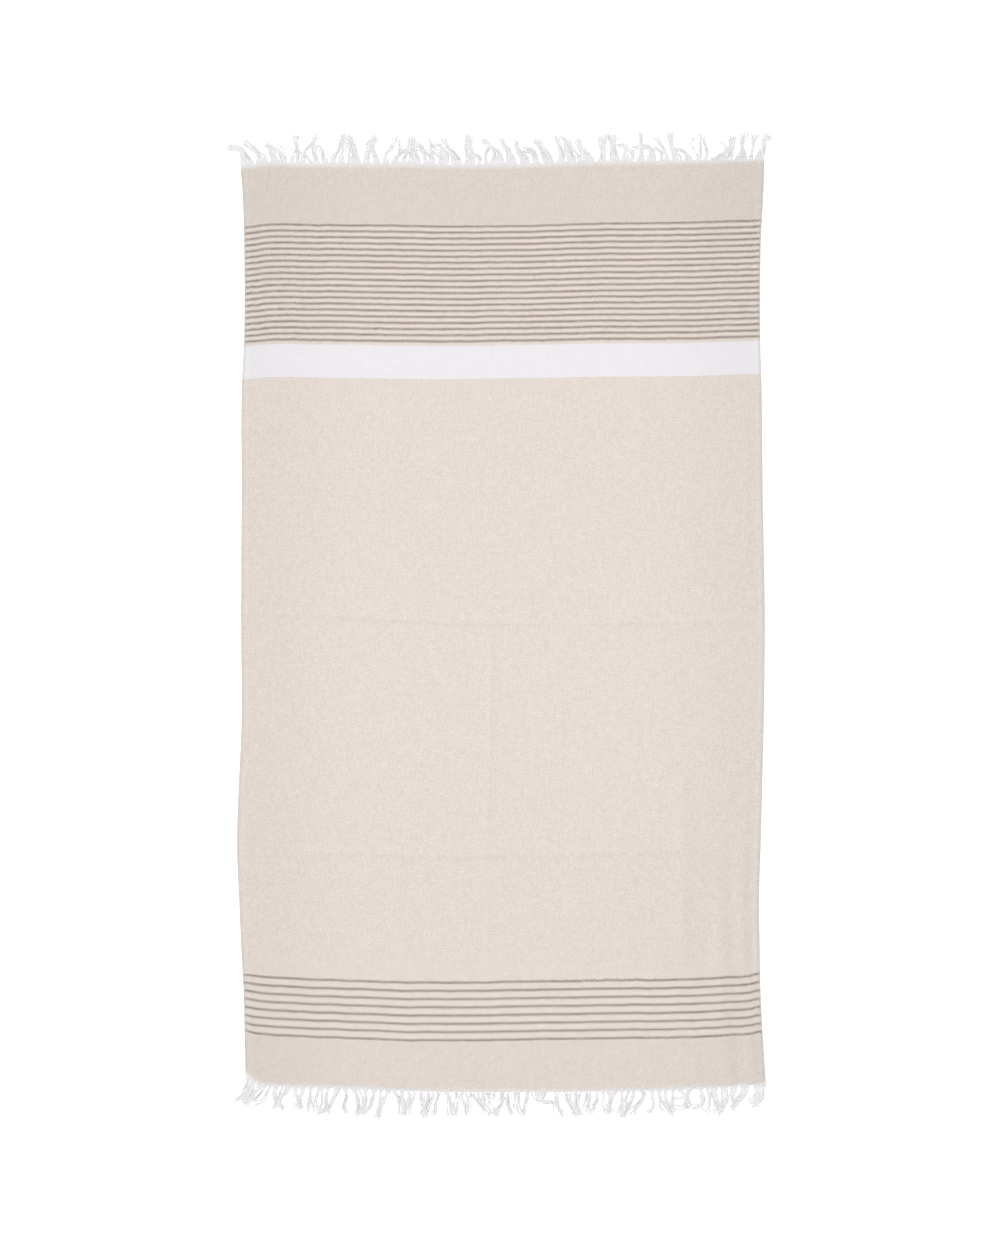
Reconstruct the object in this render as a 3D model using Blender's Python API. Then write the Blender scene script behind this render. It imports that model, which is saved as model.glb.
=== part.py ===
"""A hammam towel laid out flat, right side up, with its loose warp ends as a fringe at each end.

The towel lies on z = 0. Its length runs along Y, with the white band towards +Y, and its
width runs along X. Every table below is in millimetres, measured from the middle of the towel,
and is turned into metres by MM.
"""

import math
from collections import namedtuple

import bmesh
import bpy
from mathutils import Vector

MM = 0.001

CLOTH_THICK = 1.8 * MM
PARTING = 0.3 * MM  # the gap between the cloth and each fringe's woven strip
HEADING_WIDE = 7.0 * MM  # the white woven strip that the locks grow from
HEADING_THICK = 2.0 * MM

LOCK_THICK = 2.8 * MM  # at the middle of a lock's length
LOCK_TIP_THICK = 1.8 * MM
LOCK_WAIST = 4.6 * MM  # a lock's width past its spread root
LOCK_WAIST_SHARE = 0.8  # the same, as a share of a root that is narrower than that
LOCK_TIP_WIDE = 4.0 * MM
LOCK_TOP_SHARE = 0.62  # the width of a lock's top face against its bottom face
LOCK_STEPS = (0.14, 0.30, 0.48, 0.66, 0.84, 1.0)  # a lock's sections, as shares of the way to its tip
LOCK_STEP_BACK = 0.01  # how far back a lock's direction is taken from, as a share of that way
ROOT_SPREAD_END = 0.36  # how far up a lock its root has narrowed to the waist
LOCKS_APART = 1.2 * MM  # between the roots of two neighbouring locks of a clump

MEAN_LEFT = -496 * MM
MEAN_RIGHT = 506 * MM
MEAN_HEAD = 884 * MM
MEAN_FOOT = -889 * MM

# The long sides, from the head of the towel to its foot: how far out each one is at that height.
Side = namedtuple("Side", "along left right")
SIDES = (
    Side(890, -498, 510),
    Side(826, -493, 508),
    Side(730, -490, 503),
    Side(560, -490, 502),
    Side(442, -495, 505),
    Side(250, -495, 507),
    Side(10, -496, 511),
    Side(-180, -495, 509),
    Side(-300, -500, 506),
    Side(-422, -504, 503),
    Side(-520, -500, 500),
    Side(-615, -496, 501),
    Side(-710, -491, 503),
    Side(-805, -489, 508),
    Side(-885, -487, 513),
)

# The two ends: how far along the cloth's edge is at each place across the width.
End = namedtuple("End", "across along")
HEAD_END = (
    End(-498, 877),
    End(-440, 884),
    End(-363, 882),
    End(-190, 882),
    End(-94, 880),
    End(40, 881),
    End(194, 886),
    End(348, 888),
    End(513, 893),
)
FOOT_END = (
    End(-487, -877),
    End(-440, -882),
    End(-325, -885),
    End(-190, -891),
    End(-94, -893),
    End(60, -893),
    End(194, -892),
    End(348, -888),
    End(513, -878),
)

# The foot's left corner is rounded off.
CORNER_CUT = 21 * MM  # how far its tip is drawn in along the length
CORNER_WIDE = 38 * MM  # how far across that reaches
CORNER_FACES = 3

# Creases left by folding the towel away. A crosswise one has its place along the length at the
# left side, at the middle and at the right side. A lengthwise one has its place across at the
# foot and at the head, and where along the length it starts and ends.
Crosswise = namedtuple("Crosswise", "left middle right lift half_wide")
CROSSWISE_CREASES = (
    Crosswise(left=-439, middle=-447, right=-435, lift=2.4, half_wide=17),
    Crosswise(left=14, middle=-1, right=0, lift=2.8, half_wide=17),
)
Lengthwise = namedtuple("Lengthwise", "at_foot at_head lift half_wide starts ends")
LENGTHWISE_CREASES = (
    Lengthwise(at_foot=-14, at_head=-15, lift=2.6, half_wide=15, starts=-870, ends=430),
    Lengthwise(at_foot=420, at_head=424, lift=3.6, half_wide=40, starts=-870, ends=-330),
)
CREASE_FADE = 130 * MM  # how far a lengthwise crease takes to rise from flat at its ends
CREASE_LINES = (-1.0, -0.5, 0.0, 0.5, 1.0)  # a crease's lines of points, as shares of its half width
LARGEST_FACE = 62 * MM

# The fringes: one row for each clump of locks. root is the middle of the clump's root and base
# its width. lean and reach place the middle of its tips, sideways and outwards from the root, and
# the tips stand apart by tips. droop turns the locks over towards the side that they lean to, and
# bow swells them sideways halfway up.
Clump = namedtuple("Clump", "root base locks lean reach tips droop bow")
HEAD_FRINGE = (
    Clump(-482, 23, 1, -40, 28, 0, 0.9, 3),
    Clump(-455, 17, 1, -33, 40, 0, 0.3, 5),
    Clump(-426, 29, 3, -10, 33, 11, 0.0, 2),
    Clump(-387, 26, 2, 6, 48, 18, 0.0, -4),
    Clump(-354, 11, 1, 5, 50, 0, 0.0, -1),
    Clump(-333, 15, 1, -10, 32, 0, 0.2, 3),
    Clump(-313, 20, 2, 14, 50, 8, 0.0, -1),
    Clump(-277, 24, 2, -7, 49, 8, 0.0, 2),
    Clump(-243, 27, 2, 4, 48, 8, 0.0, 0),
    Clump(-218, 10, 1, 17, 49, 0, 0.0, -5),
    Clump(-192, 28, 2, 14, 43, 10, 0.0, -3),
    Clump(-161, 13, 1, -1, 48, 0, 0.0, 2),
    Clump(-141, 10, 1, -8, 41, 0, 0.2, 2),
    Clump(-119, 29, 3, -6, 37, 9, 0.2, 4),
    Clump(-82, 20, 2, -17, 44, 8, 0.1, 4),
    Clump(-60, 11, 1, 0, 48, 0, 0.0, 1),
    Clump(-10, 34, 3, -12, 40, 9, 0.2, 4),
    Clump(24, 21, 2, -17, 43, 8, 0.0, 2),
    Clump(58, 36, 2, -16, 40, 10, 0.2, 4),
    Clump(94, 20, 2, -22, 39, 8, 0.0, 2),
    Clump(118, 15, 1, -10, 47, 0, 0.0, 1),
    Clump(143, 26, 3, -17, 45, 8, 0.0, 2),
    Clump(171, 25, 3, -20, 40, 8, 0.1, 3),
    Clump(198, 17, 2, 3, 46, 10, 0.0, -2),
    Clump(222, 23, 3, 1, 43, 8, 0.0, 1),
    Clump(249, 24, 2, -7, 25, 10, 0.5, 2),
    Clump(271, 8, 1, 1, 52, 0, 0.0, 0),
    Clump(293, 26, 2, -6, 26, 9, 0.6, 2),
    Clump(318, 17, 2, -14, 39, 8, 0.2, 2),
    Clump(337, 13, 1, -11, 51, 0, 0.0, 1),
    Clump(363, 24, 2, -13, 28, 10, 0.5, 3),
    Clump(391, 21, 3, -7, 46, 8, 0.0, -3),
    Clump(413, 15, 1, 8, 33, 0, 0.1, 3),
    Clump(438, 24, 2, 5, 43, 8, 0.0, 1),
    Clump(465, 23, 2, 1, 51, 11, 0.0, -1),
    Clump(484, 11, 2, 2, 50, 9, 0.0, -1),
    Clump(501, 16, 1, 17, 47, 0, 0.0, -3),
)
FOOT_FRINGE = (
    Clump(-474, 27, 3, -24, 34, 8, 0.0, 4),
    Clump(-455, 10, 1, -23, 33, 0, 0.2, 3),
    Clump(-442, 7, 1, -22, 36, 0, 0.5, 5),
    Clump(-429, 8, 1, -3, 43, 0, 0.0, 3),
    Clump(-406, 18, 2, -13, 42, 8, 0.0, -3),
    Clump(-385, 19, 2, -2, 40, 10, 0.0, 0),
    Clump(-361, 8, 1, -4, 44, 0, 0.0, -1),
    Clump(-345, 13, 2, -2, 48, 8, 0.0, -1),
    Clump(-329, 8, 1, -5, 45, 0, 0.0, 1),
    Clump(-311, 14, 1, -14, 44, 0, 0.1, 2),
    Clump(-294, 8, 1, 0, 44, 0, 0.0, -3),
    Clump(-266, 18, 2, -1, 48, 9, 0.0, 0),
    Clump(-238, 10, 1, -13, 43, 0, 0.1, 2),
    Clump(-220, 17, 1, -12, 52, 0, 0.0, 1),
    Clump(-189, 26, 2, 2, 47, 8, 0.0, 2),
    Clump(-163, 7, 1, -9, 45, 0, 0.0, 1),
    Clump(-138, 25, 2, -8, 50, 9, 0.0, 2),
    Clump(-116, 7, 1, -10, 48, 0, 0.0, 1),
    Clump(-91, 22, 2, 4, 49, 8, 0.0, 1),
    Clump(-65, 13, 2, 2, 48, 8, 0.0, 0),
    Clump(-35, 32, 3, 12, 44, 8, 0.1, -3),
    Clump(6, 9, 1, -7, 43, 0, 0.1, 2),
    Clump(17, 6, 1, 8, 45, 0, 0.0, -1),
    Clump(44, 23, 2, 1, 46, 9, 0.0, 1),
    Clump(79, 30, 1, 4, 19, 0, 0.0, 0),
    Clump(113, 8, 1, 6, 46, 0, 0.0, -3),
    Clump(132, 13, 1, 13, 46, 0, 0.1, -3),
    Clump(153, 12, 1, 4, 44, 0, 0.0, -2),
    Clump(171, 8, 1, -4, 40, 0, 0.0, 0),
    Clump(188, 6, 1, -7, 42, 0, 0.1, 2),
    Clump(204, 6, 1, 1, 41, 0, 0.0, 1),
    Clump(219, 17, 1, -5, 43, 0, 0.0, 2),
    Clump(239, 8, 1, -12, 44, 0, 0.0, 2),
    Clump(257, 20, 2, -18, 51, 8, 0.0, 3),
    Clump(280, 9, 1, -18, 48, 0, 0.2, 4),
    Clump(296, 6, 1, -7, 43, 0, 0.2, 3),
    Clump(314, 21, 2, 17, 43, 8, 0.1, -3),
    Clump(356, 17, 1, 5, 38, 0, 0.0, -1),
    Clump(389, 9, 1, 0, 42, 0, 0.0, 2),
    Clump(406, 13, 2, 2, 51, 9, 0.0, 0),
    Clump(424, 17, 1, 0, 52, 0, 0.0, 0),
    Clump(444, 15, 1, -9, 38, 0, 0.0, 2),
    Clump(467, 23, 2, -18, 40, 8, 0.1, 3),
    Clump(490, 8, 1, -6, 33, 0, 0.1, 2),
    Clump(505, 12, 1, -9, 38, 0, 0.1, 4),
)

CLOTH_COLOUR = (0.76, 0.69, 0.62)
CLOTH_ROUGHNESS = 0.9
YARN_COLOUR = (0.85, 0.85, 0.87)
YARN_ROUGHNESS = 0.95


def knots_of(rows, place, value):
    """(place, value) knots in metres, in rising order of place, from two named columns of a table."""
    return sorted((getattr(row, place) * MM, getattr(row, value) * MM) for row in rows)


def smooth_through(knots, place):
    """The height at a place of the smooth curve through (place, height) knots, held level past its ends."""
    index = 0
    while index < len(knots) - 2 and place > knots[index + 1][0]:
        index += 1
    low, high = knots[index], knots[index + 1]
    before = knots[max(index - 1, 0)]
    after = knots[min(index + 2, len(knots) - 1)]
    step = high[0] - low[0]
    rise = high[1] - low[1]
    leave = (high[1] - before[1]) / (high[0] - before[0]) * step
    arrive = (after[1] - low[1]) / (after[0] - low[0]) * step
    share = min(max((place - low[0]) / step, 0.0), 1.0)
    squared = 3 * rise - 2 * leave - arrive
    cubed = leave + arrive - 2 * rise
    return low[1] + share * (leave + share * (squared + share * cubed))


LEFT_SIDE = knots_of(SIDES, "along", "left")
RIGHT_SIDE = knots_of(SIDES, "along", "right")
HEAD_EDGE = knots_of(HEAD_END, "across", "along")
FOOT_EDGE = knots_of(FOOT_END, "across", "along")


def head_at(across):
    return smooth_through(HEAD_EDGE, across)


def foot_at(across):
    """The foot's edge, with its left corner rounded off."""
    inside = max(0.0, 1 - (across - MEAN_LEFT) / CORNER_WIDE)
    return smooth_through(FOOT_EDGE, across) + CORNER_CUT * inside**2


def crosswise_at(crease, across):
    knots = ((MEAN_LEFT, crease.left * MM), (0.0, crease.middle * MM), (MEAN_RIGHT, crease.right * MM))
    return smooth_through(knots, across)


def lengthwise_at(crease, along):
    share = (along - MEAN_FOOT) / (MEAN_HEAD - MEAN_FOOT)
    return (crease.at_foot + share * (crease.at_head - crease.at_foot)) * MM


def ridge(distance, half_wide):
    """The rounded profile of a crease, from 1 on its crest to 0 at its foot and beyond."""
    share = min(abs(distance) / half_wide, 1.0)
    return 0.5 + 0.5 * math.cos(math.pi * share)


def lift_at(across, along):
    """How far the creases raise the cloth off the surface."""
    lifts = [0.0]
    for crease in CROSSWISE_CREASES:
        distance = along - crosswise_at(crease, across)
        lifts.append(crease.lift * MM * ridge(distance, crease.half_wide * MM))
    for crease in LENGTHWISE_CREASES:
        distance = across - lengthwise_at(crease, along)
        inside = min(along - crease.starts * MM, crease.ends * MM - along)
        fade = ridge(max(0.0, CREASE_FADE - inside), CREASE_FADE)
        lifts.append(crease.lift * MM * fade * ridge(distance, crease.half_wide * MM))
    return max(lifts)


def crease_lines(middle, half_wide):
    return [middle + share * half_wide * MM for share in CREASE_LINES]


def column_anchors(along):
    """The places across of the lines of points that run lengthwise, at one height."""
    anchors = [MEAN_LEFT + CORNER_WIDE * face / CORNER_FACES for face in range(CORNER_FACES + 1)]
    for crease in LENGTHWISE_CREASES:
        anchors += crease_lines(lengthwise_at(crease, along), crease.half_wide)
    return anchors + [MEAN_RIGHT]


def row_anchors(across):
    """The places along of the lines of points that run crosswise, at one place across."""
    anchors = [foot_at(across)]
    for crease in CROSSWISE_CREASES:
        anchors += crease_lines(crosswise_at(crease, across), crease.half_wide)
    return anchors + [head_at(across)]


def line_plan(anchors):
    """Where lines go so that no face is too large, as (anchor, share of the way to the next one)."""
    plan = []
    for index in range(len(anchors) - 1):
        faces = math.ceil((anchors[index + 1] - anchors[index]) / LARGEST_FACE)
        plan += [(index, face / faces) for face in range(faces)]
    return plan + [(len(anchors) - 2, 1.0)]


def place_on(anchors, step):
    index, share = step
    return anchors[index] + share * (anchors[index + 1] - anchors[index])


def cloth_grid():
    """Rows of (across, along) points of the cloth, from its foot to its head, each from left to right."""
    row_plan = line_plan(row_anchors(0.0))
    column_plan = line_plan(column_anchors(0.0))
    grid = []
    for row_step in row_plan:
        mean_along = place_on(row_anchors(0.0), row_step)
        row = []
        for column_step in column_plan:
            mean_across = place_on(column_anchors(mean_along), column_step)
            along = place_on(row_anchors(mean_across), row_step)
            share = (mean_across - MEAN_LEFT) / (MEAN_RIGHT - MEAN_LEFT)
            left = smooth_through(LEFT_SIDE, along)
            right = smooth_through(RIGHT_SIDE, along)
            row.append((left + share * (right - left), along))
        grid.append(row)
    return grid


def offset_line(line, distance):
    """The line of (across, along) points moved sideways by the distance, away to the left of its run."""
    points = [Vector(point) for point in line]
    turned = []
    for before, after in zip(points, points[1:]):
        run = (after - before).normalized()
        turned.append(Vector((-run.y, run.x)))
    moved = []
    for index, point in enumerate(points):
        first = turned[max(index - 1, 0)]
        second = turned[min(index, len(turned) - 1)]
        moved.append(point + (first + second) * distance / (1 + first.dot(second)))
    return moved


def station_of(line, across):
    """The place on the line at that place across, as a number whose whole part is the index of a point."""
    index = 0
    while index < len(line) - 2 and across > line[index + 1].x:
        index += 1
    return index + (across - line[index].x) / (line[index + 1].x - line[index].x)


def point_at(line, station):
    index = min(int(station), len(line) - 2)
    return line[index].lerp(line[index + 1], station - index)


def lock_width(root_wide, share):
    waist = min(LOCK_WAIST, LOCK_WAIST_SHARE * root_wide)
    spread = max(0.0, 1 - share / ROOT_SPREAD_END) ** 2
    tip = min(LOCK_TIP_WIDE, waist)
    return tip + (waist - tip) * min(1.0, 2 - 2 * share) + (root_wide - waist) * spread


def lock_height(share):
    if share < ROOT_SPREAD_END:
        return HEADING_THICK + (LOCK_THICK - HEADING_THICK) * share / ROOT_SPREAD_END
    past = (share - ROOT_SPREAD_END) / (1 - ROOT_SPREAD_END)
    return LOCK_THICK + (LOCK_TIP_THICK - LOCK_THICK) * past**2


def locks_of(clump):
    """(root across, root width, lean) of each lock of a clump, in metres."""
    pitch = clump.base * MM / clump.locks
    for number in range(clump.locks):
        from_middle = number - (clump.locks - 1) / 2
        lean = clump.lean * MM + from_middle * (clump.tips * MM - pitch)
        yield clump.root * MM + from_middle * pitch, pitch - LOCKS_APART, lean


def lock_point(root, outward, clump, lean, share):
    """The middle of a lock, a share of the way from its root to its tip."""
    across = root.x + lean * share ** (1 + clump.droop) + clump.bow * MM * math.sin(math.pi * share)
    out = clump.reach * MM * share * (1 + clump.droop * (1 - share))
    return Vector((across, root.y + outward * out))


def lock_sections(root, root_wide, outward, clump, lean):
    """A lock's cross-section at each of its steps: bottom left, bottom right, top right, top left."""
    for share in LOCK_STEPS:
        middle = lock_point(root, outward, clump, lean, share)
        before = lock_point(root, outward, clump, lean, share - LOCK_STEP_BACK)
        run = (middle - before).normalized()
        side = Vector((run.y, -run.x)) * outward * lock_width(root_wide, share) / 2
        top_side = side * LOCK_TOP_SHARE
        height = lock_height(share)
        yield [
            (*(middle - side), 0.0),
            (*(middle + side), 0.0),
            (*(middle + top_side), height),
            (*(middle - top_side), height),
        ]


def new_node(name, mesh, colour, roughness):
    bmesh.ops.recalc_face_normals(mesh, faces=mesh.faces)
    data = bpy.data.meshes.new(name)
    mesh.to_mesh(data)
    mesh.free()
    material = bpy.data.materials.new(name)
    material.use_nodes = True
    surface = material.node_tree.nodes["Principled BSDF"]
    surface.inputs["Base Color"].default_value = (*colour, 1.0)
    surface.inputs["Roughness"].default_value = roughness
    surface.inputs["Metallic"].default_value = 0.0
    data.materials.append(material)
    node = bpy.data.objects.new(name, data)
    bpy.context.scene.collection.objects.link(node)
    return node


def add_ring(mesh, first, second):
    """The faces that join two rings of as many vertices."""
    for index in range(len(first)):
        following = (index + 1) % len(first)
        mesh.faces.new((first[index], first[following], second[following], second[index]))


def make_cloth(name, grid):
    """The woven cloth: a sheet of even thickness that lies flat and lifts a little along its creases."""
    mesh = bmesh.new()
    under = []
    upper = []
    for row in grid:
        lifts = [lift_at(*point) for point in row]
        under.append([mesh.verts.new((*point, lift)) for point, lift in zip(row, lifts)])
        upper.append([mesh.verts.new((*point, lift + CLOTH_THICK)) for point, lift in zip(row, lifts)])
    for layer in (under, upper):
        for row, next_row in zip(layer, layer[1:]):
            for column in range(len(row) - 1):
                mesh.faces.new((row[column], row[column + 1], next_row[column + 1], next_row[column]))
    add_ring(mesh, outline_of(under), outline_of(upper))
    return new_node(name, mesh, CLOTH_COLOUR, CLOTH_ROUGHNESS)


def outline_of(layer):
    """The vertices round the edge of a layer, in order."""
    right = [row[-1] for row in layer[1:-1]]
    left = [row[0] for row in layer[1:-1]]
    return layer[0] + right + layer[-1][::-1] + left[::-1]


def vertices_along(mesh, line, stations, height):
    """A vertex at each of the stations of a line, at that height."""
    return {station: mesh.verts.new((*point_at(line, station), height)) for station in stations}


def make_fringe(name, edge, outward, clumps):
    """A narrow woven strip along the cloth's edge, with the locks that grow from its outer side."""
    inner = offset_line(edge, outward * PARTING)
    outer = offset_line(edge, outward * (PARTING + HEADING_WIDE))
    roots = {}
    for clump in clumps:
        for across, root_wide, lean in locks_of(clump):
            start = station_of(outer, across - root_wide / 2)
            end = station_of(outer, across + root_wide / 2)
            roots[start] = (end, root_wide, clump, lean)
    within = [(start, root[0]) for start, root in roots.items()]
    ends = {end for _, end in within}
    corners = [
        station
        for station in range(len(outer))
        if not any(start < station < end for start, end in within)
    ]
    outer_stations = sorted({*corners, *roots, *ends})
    stations = sorted({*range(len(outer)), *outer_stations})

    mesh = bmesh.new()
    inner_low = vertices_along(mesh, inner, stations, 0.0)
    inner_high = vertices_along(mesh, inner, stations, HEADING_THICK)
    outer_low = vertices_along(mesh, outer, outer_stations, 0.0)
    outer_high = vertices_along(mesh, outer, outer_stations, HEADING_THICK)
    for end in (stations[0], stations[-1]):
        mesh.faces.new((inner_low[end], inner_high[end], outer_high[end], outer_low[end]))
    for here, following in zip(stations, stations[1:]):
        mesh.faces.new((inner_low[here], inner_low[following], inner_high[following], inner_high[here]))
    for here, following in zip(outer_stations, outer_stations[1:]):
        between = [station for station in reversed(stations) if here <= station <= following]
        for outside, inside in ((outer_low, inner_low), (outer_high, inner_high)):
            back = [inside[station] for station in between]
            mesh.faces.new([outside[here], outside[following]] + back)
        ring = [outer_low[here], outer_low[following], outer_high[following], outer_high[here]]
        if here not in roots:
            mesh.faces.new(ring)
            continue
        _, root_wide, clump, lean = roots[here]
        root = (ring[0].co.xy + ring[1].co.xy) / 2
        for section in lock_sections(root, root_wide, outward, clump, lean):
            next_ring = [mesh.verts.new(corner) for corner in section]
            add_ring(mesh, ring, next_ring)
            ring = next_ring
        mesh.faces.new(ring)
    return new_node(name, mesh, YARN_COLOUR, YARN_ROUGHNESS)


def centre_across_and_along(nodes):
    """Moves the meshes so that the middle of the towel's outline is over the origin."""
    points = [vertex.co for node in nodes for vertex in node.data.vertices]
    middle_across = (min(point.x for point in points) + max(point.x for point in points)) / 2
    middle_along = (min(point.y for point in points) + max(point.y for point in points)) / 2
    for node in nodes:
        for vertex in node.data.vertices:
            vertex.co.x -= middle_across
            vertex.co.y -= middle_along


def main():
    for old in list(bpy.data.objects):
        bpy.data.objects.remove(old)
    grid = cloth_grid()
    centre_across_and_along(
        [
            make_cloth("towel_cloth", grid),
            make_fringe("fringe_head", grid[-1], 1, HEAD_FRINGE),
            make_fringe("fringe_foot", grid[0], -1, FOOT_FRINGE),
        ]
    )


main()
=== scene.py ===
import math
import random

import bpy
import numpy as np
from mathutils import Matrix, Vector, noise


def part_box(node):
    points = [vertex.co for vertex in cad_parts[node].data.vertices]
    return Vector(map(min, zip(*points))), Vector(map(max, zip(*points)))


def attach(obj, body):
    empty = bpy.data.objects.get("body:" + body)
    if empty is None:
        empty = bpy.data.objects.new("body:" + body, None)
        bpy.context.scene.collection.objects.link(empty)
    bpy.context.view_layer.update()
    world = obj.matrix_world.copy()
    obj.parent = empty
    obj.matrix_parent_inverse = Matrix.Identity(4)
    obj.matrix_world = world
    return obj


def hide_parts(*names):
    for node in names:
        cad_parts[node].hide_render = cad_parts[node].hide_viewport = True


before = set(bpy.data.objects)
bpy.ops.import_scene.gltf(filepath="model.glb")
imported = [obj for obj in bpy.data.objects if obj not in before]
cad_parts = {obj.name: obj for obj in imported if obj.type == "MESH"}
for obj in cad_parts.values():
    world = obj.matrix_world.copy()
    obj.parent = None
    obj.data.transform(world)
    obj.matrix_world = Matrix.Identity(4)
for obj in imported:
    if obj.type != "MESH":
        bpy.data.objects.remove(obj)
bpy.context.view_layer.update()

mm = 0.001
body = "root"
scene = bpy.context.scene
scene.view_settings.view_transform = "Standard"

# the towel's outline, in millimetres from its middle, as it was measured
plan = {
    "across": (-496, 506),  # the mean sides, between which the warp is spaced evenly
    "along": (-889, 884),  # the mean ends
    "left": ((890, -498), (826, -493), (730, -490), (560, -490), (442, -495), (250, -495), (10, -496),
             (-180, -495), (-300, -500), (-422, -504), (-520, -500), (-615, -496), (-710, -491),
             (-805, -489), (-885, -487)),  # (along, across)
    "right": ((890, 510), (826, 508), (730, 503), (560, 502), (442, 505), (250, 507), (10, 511),
              (-180, 509), (-300, 506), (-422, 503), (-520, 500), (-615, 501), (-710, 503),
              (-805, 508), (-885, 513)),
    "head": ((-498, 877), (-440, 884), (-363, 882), (-190, 882), (-94, 880), (40, 881), (194, 886),
             (348, 888), (513, 893)),  # (across, along)
    "foot": ((-487, -877), (-440, -882), (-325, -885), (-190, -891), (-94, -893), (60, -893),
             (194, -892), (348, -888), (513, -878)),
    "cornerCut": 21,  # how far the foot's left corner is drawn in
    "cornerWide": 38,  # and over what width
    "cornerFade": 0.15,  # share of the length over which the cut dies out
    # how rows of the weave stray: where they lie, how far that holds, and (across, shift)
    "rowBends": (
    (-733, 75, ((-500, -0.7), (-421, -1.6), (-344, -3.3), (-190, -2.5), (0, 0), (194, 1.7), (348, -0.7),
                    (476, -1.6), (484, -1.2), (490, 0.6), (497, 1.5), (508, 2.0))),
    (-800, 10, ((-500, -4.5), (-481, -3.6), (-466, -0.6), (-455, 0), (0, 0), (500, 0))),
    (510, 50, ((-470, -1.2), (-380, 0.7), (-190, 0), (2, 2.2), (194, 1.0), (386, -0.8), (482, -1.5))),
    (670, 60, ((-469, -0.8), (-344, 1.4), (-190, 0), (2, 1.4), (194, 0.6), (348, -0.4), (482, -0.7))),
    ),
    "rowBendFade": 85,
}


def smoothThrough(knots, place):
    # a smooth curve through (place, value) knots in mm, read at places in metres
    at, value = np.array(sorted(knots), float).T * mm
    index = np.arange(len(at))
    low, high = np.maximum(index - 1, 0), np.minimum(index + 1, len(at) - 1)
    slope = (value[high] - value[low]) / (at[high] - at[low])
    here = np.clip(np.searchsorted(at, place) - 1, 0, len(at) - 2)
    step = at[here + 1] - at[here]
    share = np.clip((place - at[here]) / step, 0, 1)
    rise = value[here + 1] - value[here]
    leave, arrive = slope[here] * step, slope[here + 1] * step
    bend = 3 * rise - 2 * leave - arrive + share * (leave + arrive - 2 * rise)
    return value[here] + share * (leave + share * bend)


def ridge(distance, halfWide):
    # 1 on the crest, 0 from halfWide on
    return 0.5 + 0.5 * np.cos(np.pi * np.minimum(np.abs(distance) / halfWide, 1))


def eased(share):
    # a soft step from 0 to 1
    share = np.clip(share, 0, 1)
    return share * share * (3 - 2 * share)


def clothPlace(mean, share):
    # where a point of the cloth lies: mean is its place between the mean sides in metres,
    # share its place from foot (0) to head (1)
    low, high = np.array(plan["across"]) * mm
    foot, head = smoothThrough(plan["foot"], mean), smoothThrough(plan["head"], mean)
    inside = np.maximum(0, 1 - (mean - low) / (plan["cornerWide"] * mm))
    fade = np.maximum(0, 1 - share / plan["cornerFade"])
    along = foot + share * (head - foot) + plan["cornerCut"] * mm * (inside * fade) ** 2
    left, right = smoothThrough(plan["left"], along), smoothThrough(plan["right"], along)
    return left + (mean - low) / (high - low) * (right - left), along


meanLow, meanHigh = (side * mm for side in plan["across"])
clothWidth = meanHigh - meanLow
clothLength = (plan["along"][1] - plan["along"][0]) * mm

# the woven cloth; lengths in mm
sheetFacts = {
    "thick": 1.8,
    "spacing": 6.6,  # between the mesh's lines
    "nearCrease": (1.5, 4.5, 8.0, 12.0, 17.0),  # closer lines beside a crease
    "closeColumns": (-14, 487),  # the lengthwise crease, and where the foot's lines step
    "crisp": 0.32,  # how much of a crease's profile is a sharp crest
    "follow": 120,  # beside a crosswise crease, how far the rows bend with it
    "edgeRound": 0.5,
    "edgeSteps": 2,
    "edgeAngle": 60,  # degrees; sharper edges are rounded
    "smoothAngle": 50,
    "unevenness": ((0.34, 62), (0.13, 21)),  # (height, size) of the cloth's own unevenness
    # folds across the cloth: at the left, middle and right, lift, half width
    "crosswise": ((-436, -443, -431, 1.0, 17), (22, 5, 5, 0.9, 17)),
    # folds along it: at the foot, at the head, lift, half width, starts, ends, fades out over
    "lengthwise": ((-14, -15, 0.3, 15, -870, 430, 130), (-15, -16, 0.9, 15, -455, 25, 70)),
    # softer swells: across and along of both ends, half width, lift
    "swells": (
        (431, -260, 430, -1180, 25, 2.6),
        (357, -360, 358, -780, 28, 1.8),
        (470, -280, 473, -800, 18, 1.9),
        (480, -600, 482, -1180, 22, 2.0),
        (352, -150, 356, -560, 22, 0.9),
        (-404, 480, -400, 860, 16, 0.9),
        (-446, 500, -440, 800, 13, 0.7),
        (-202, 120, -196, 560, 20, 0.8),
        (268, 160, 274, 600, 20, 0.8),
        (150, -300, 158, -640, 24, 0.7),
        (-330, -500, -322, -790, 22, 0.7),
        (-470, -560, -474, -300, 14, 0.8),
        (470, 60, 474, 420, 13, 0.7),
        (-300, -120, -60, -190, 26, 0.6),
        (60, 240, 300, 300, 26, 0.6),
    ),
}


def creaseProfile(distance, halfWide):
    # a rounded ridge with a sharper crest
    crest = np.maximum(0, 1 - np.abs(distance) / halfWide) ** 3
    crisp = sheetFacts["crisp"]
    return (1 - crisp) * ridge(distance, halfWide) + crisp * crest


def crosswiseAt(crease, mean):
    # how far along a crosswise crease lies
    low, high = plan["across"]
    return smoothThrough(zip((low, 0, high), crease), mean)


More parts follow.
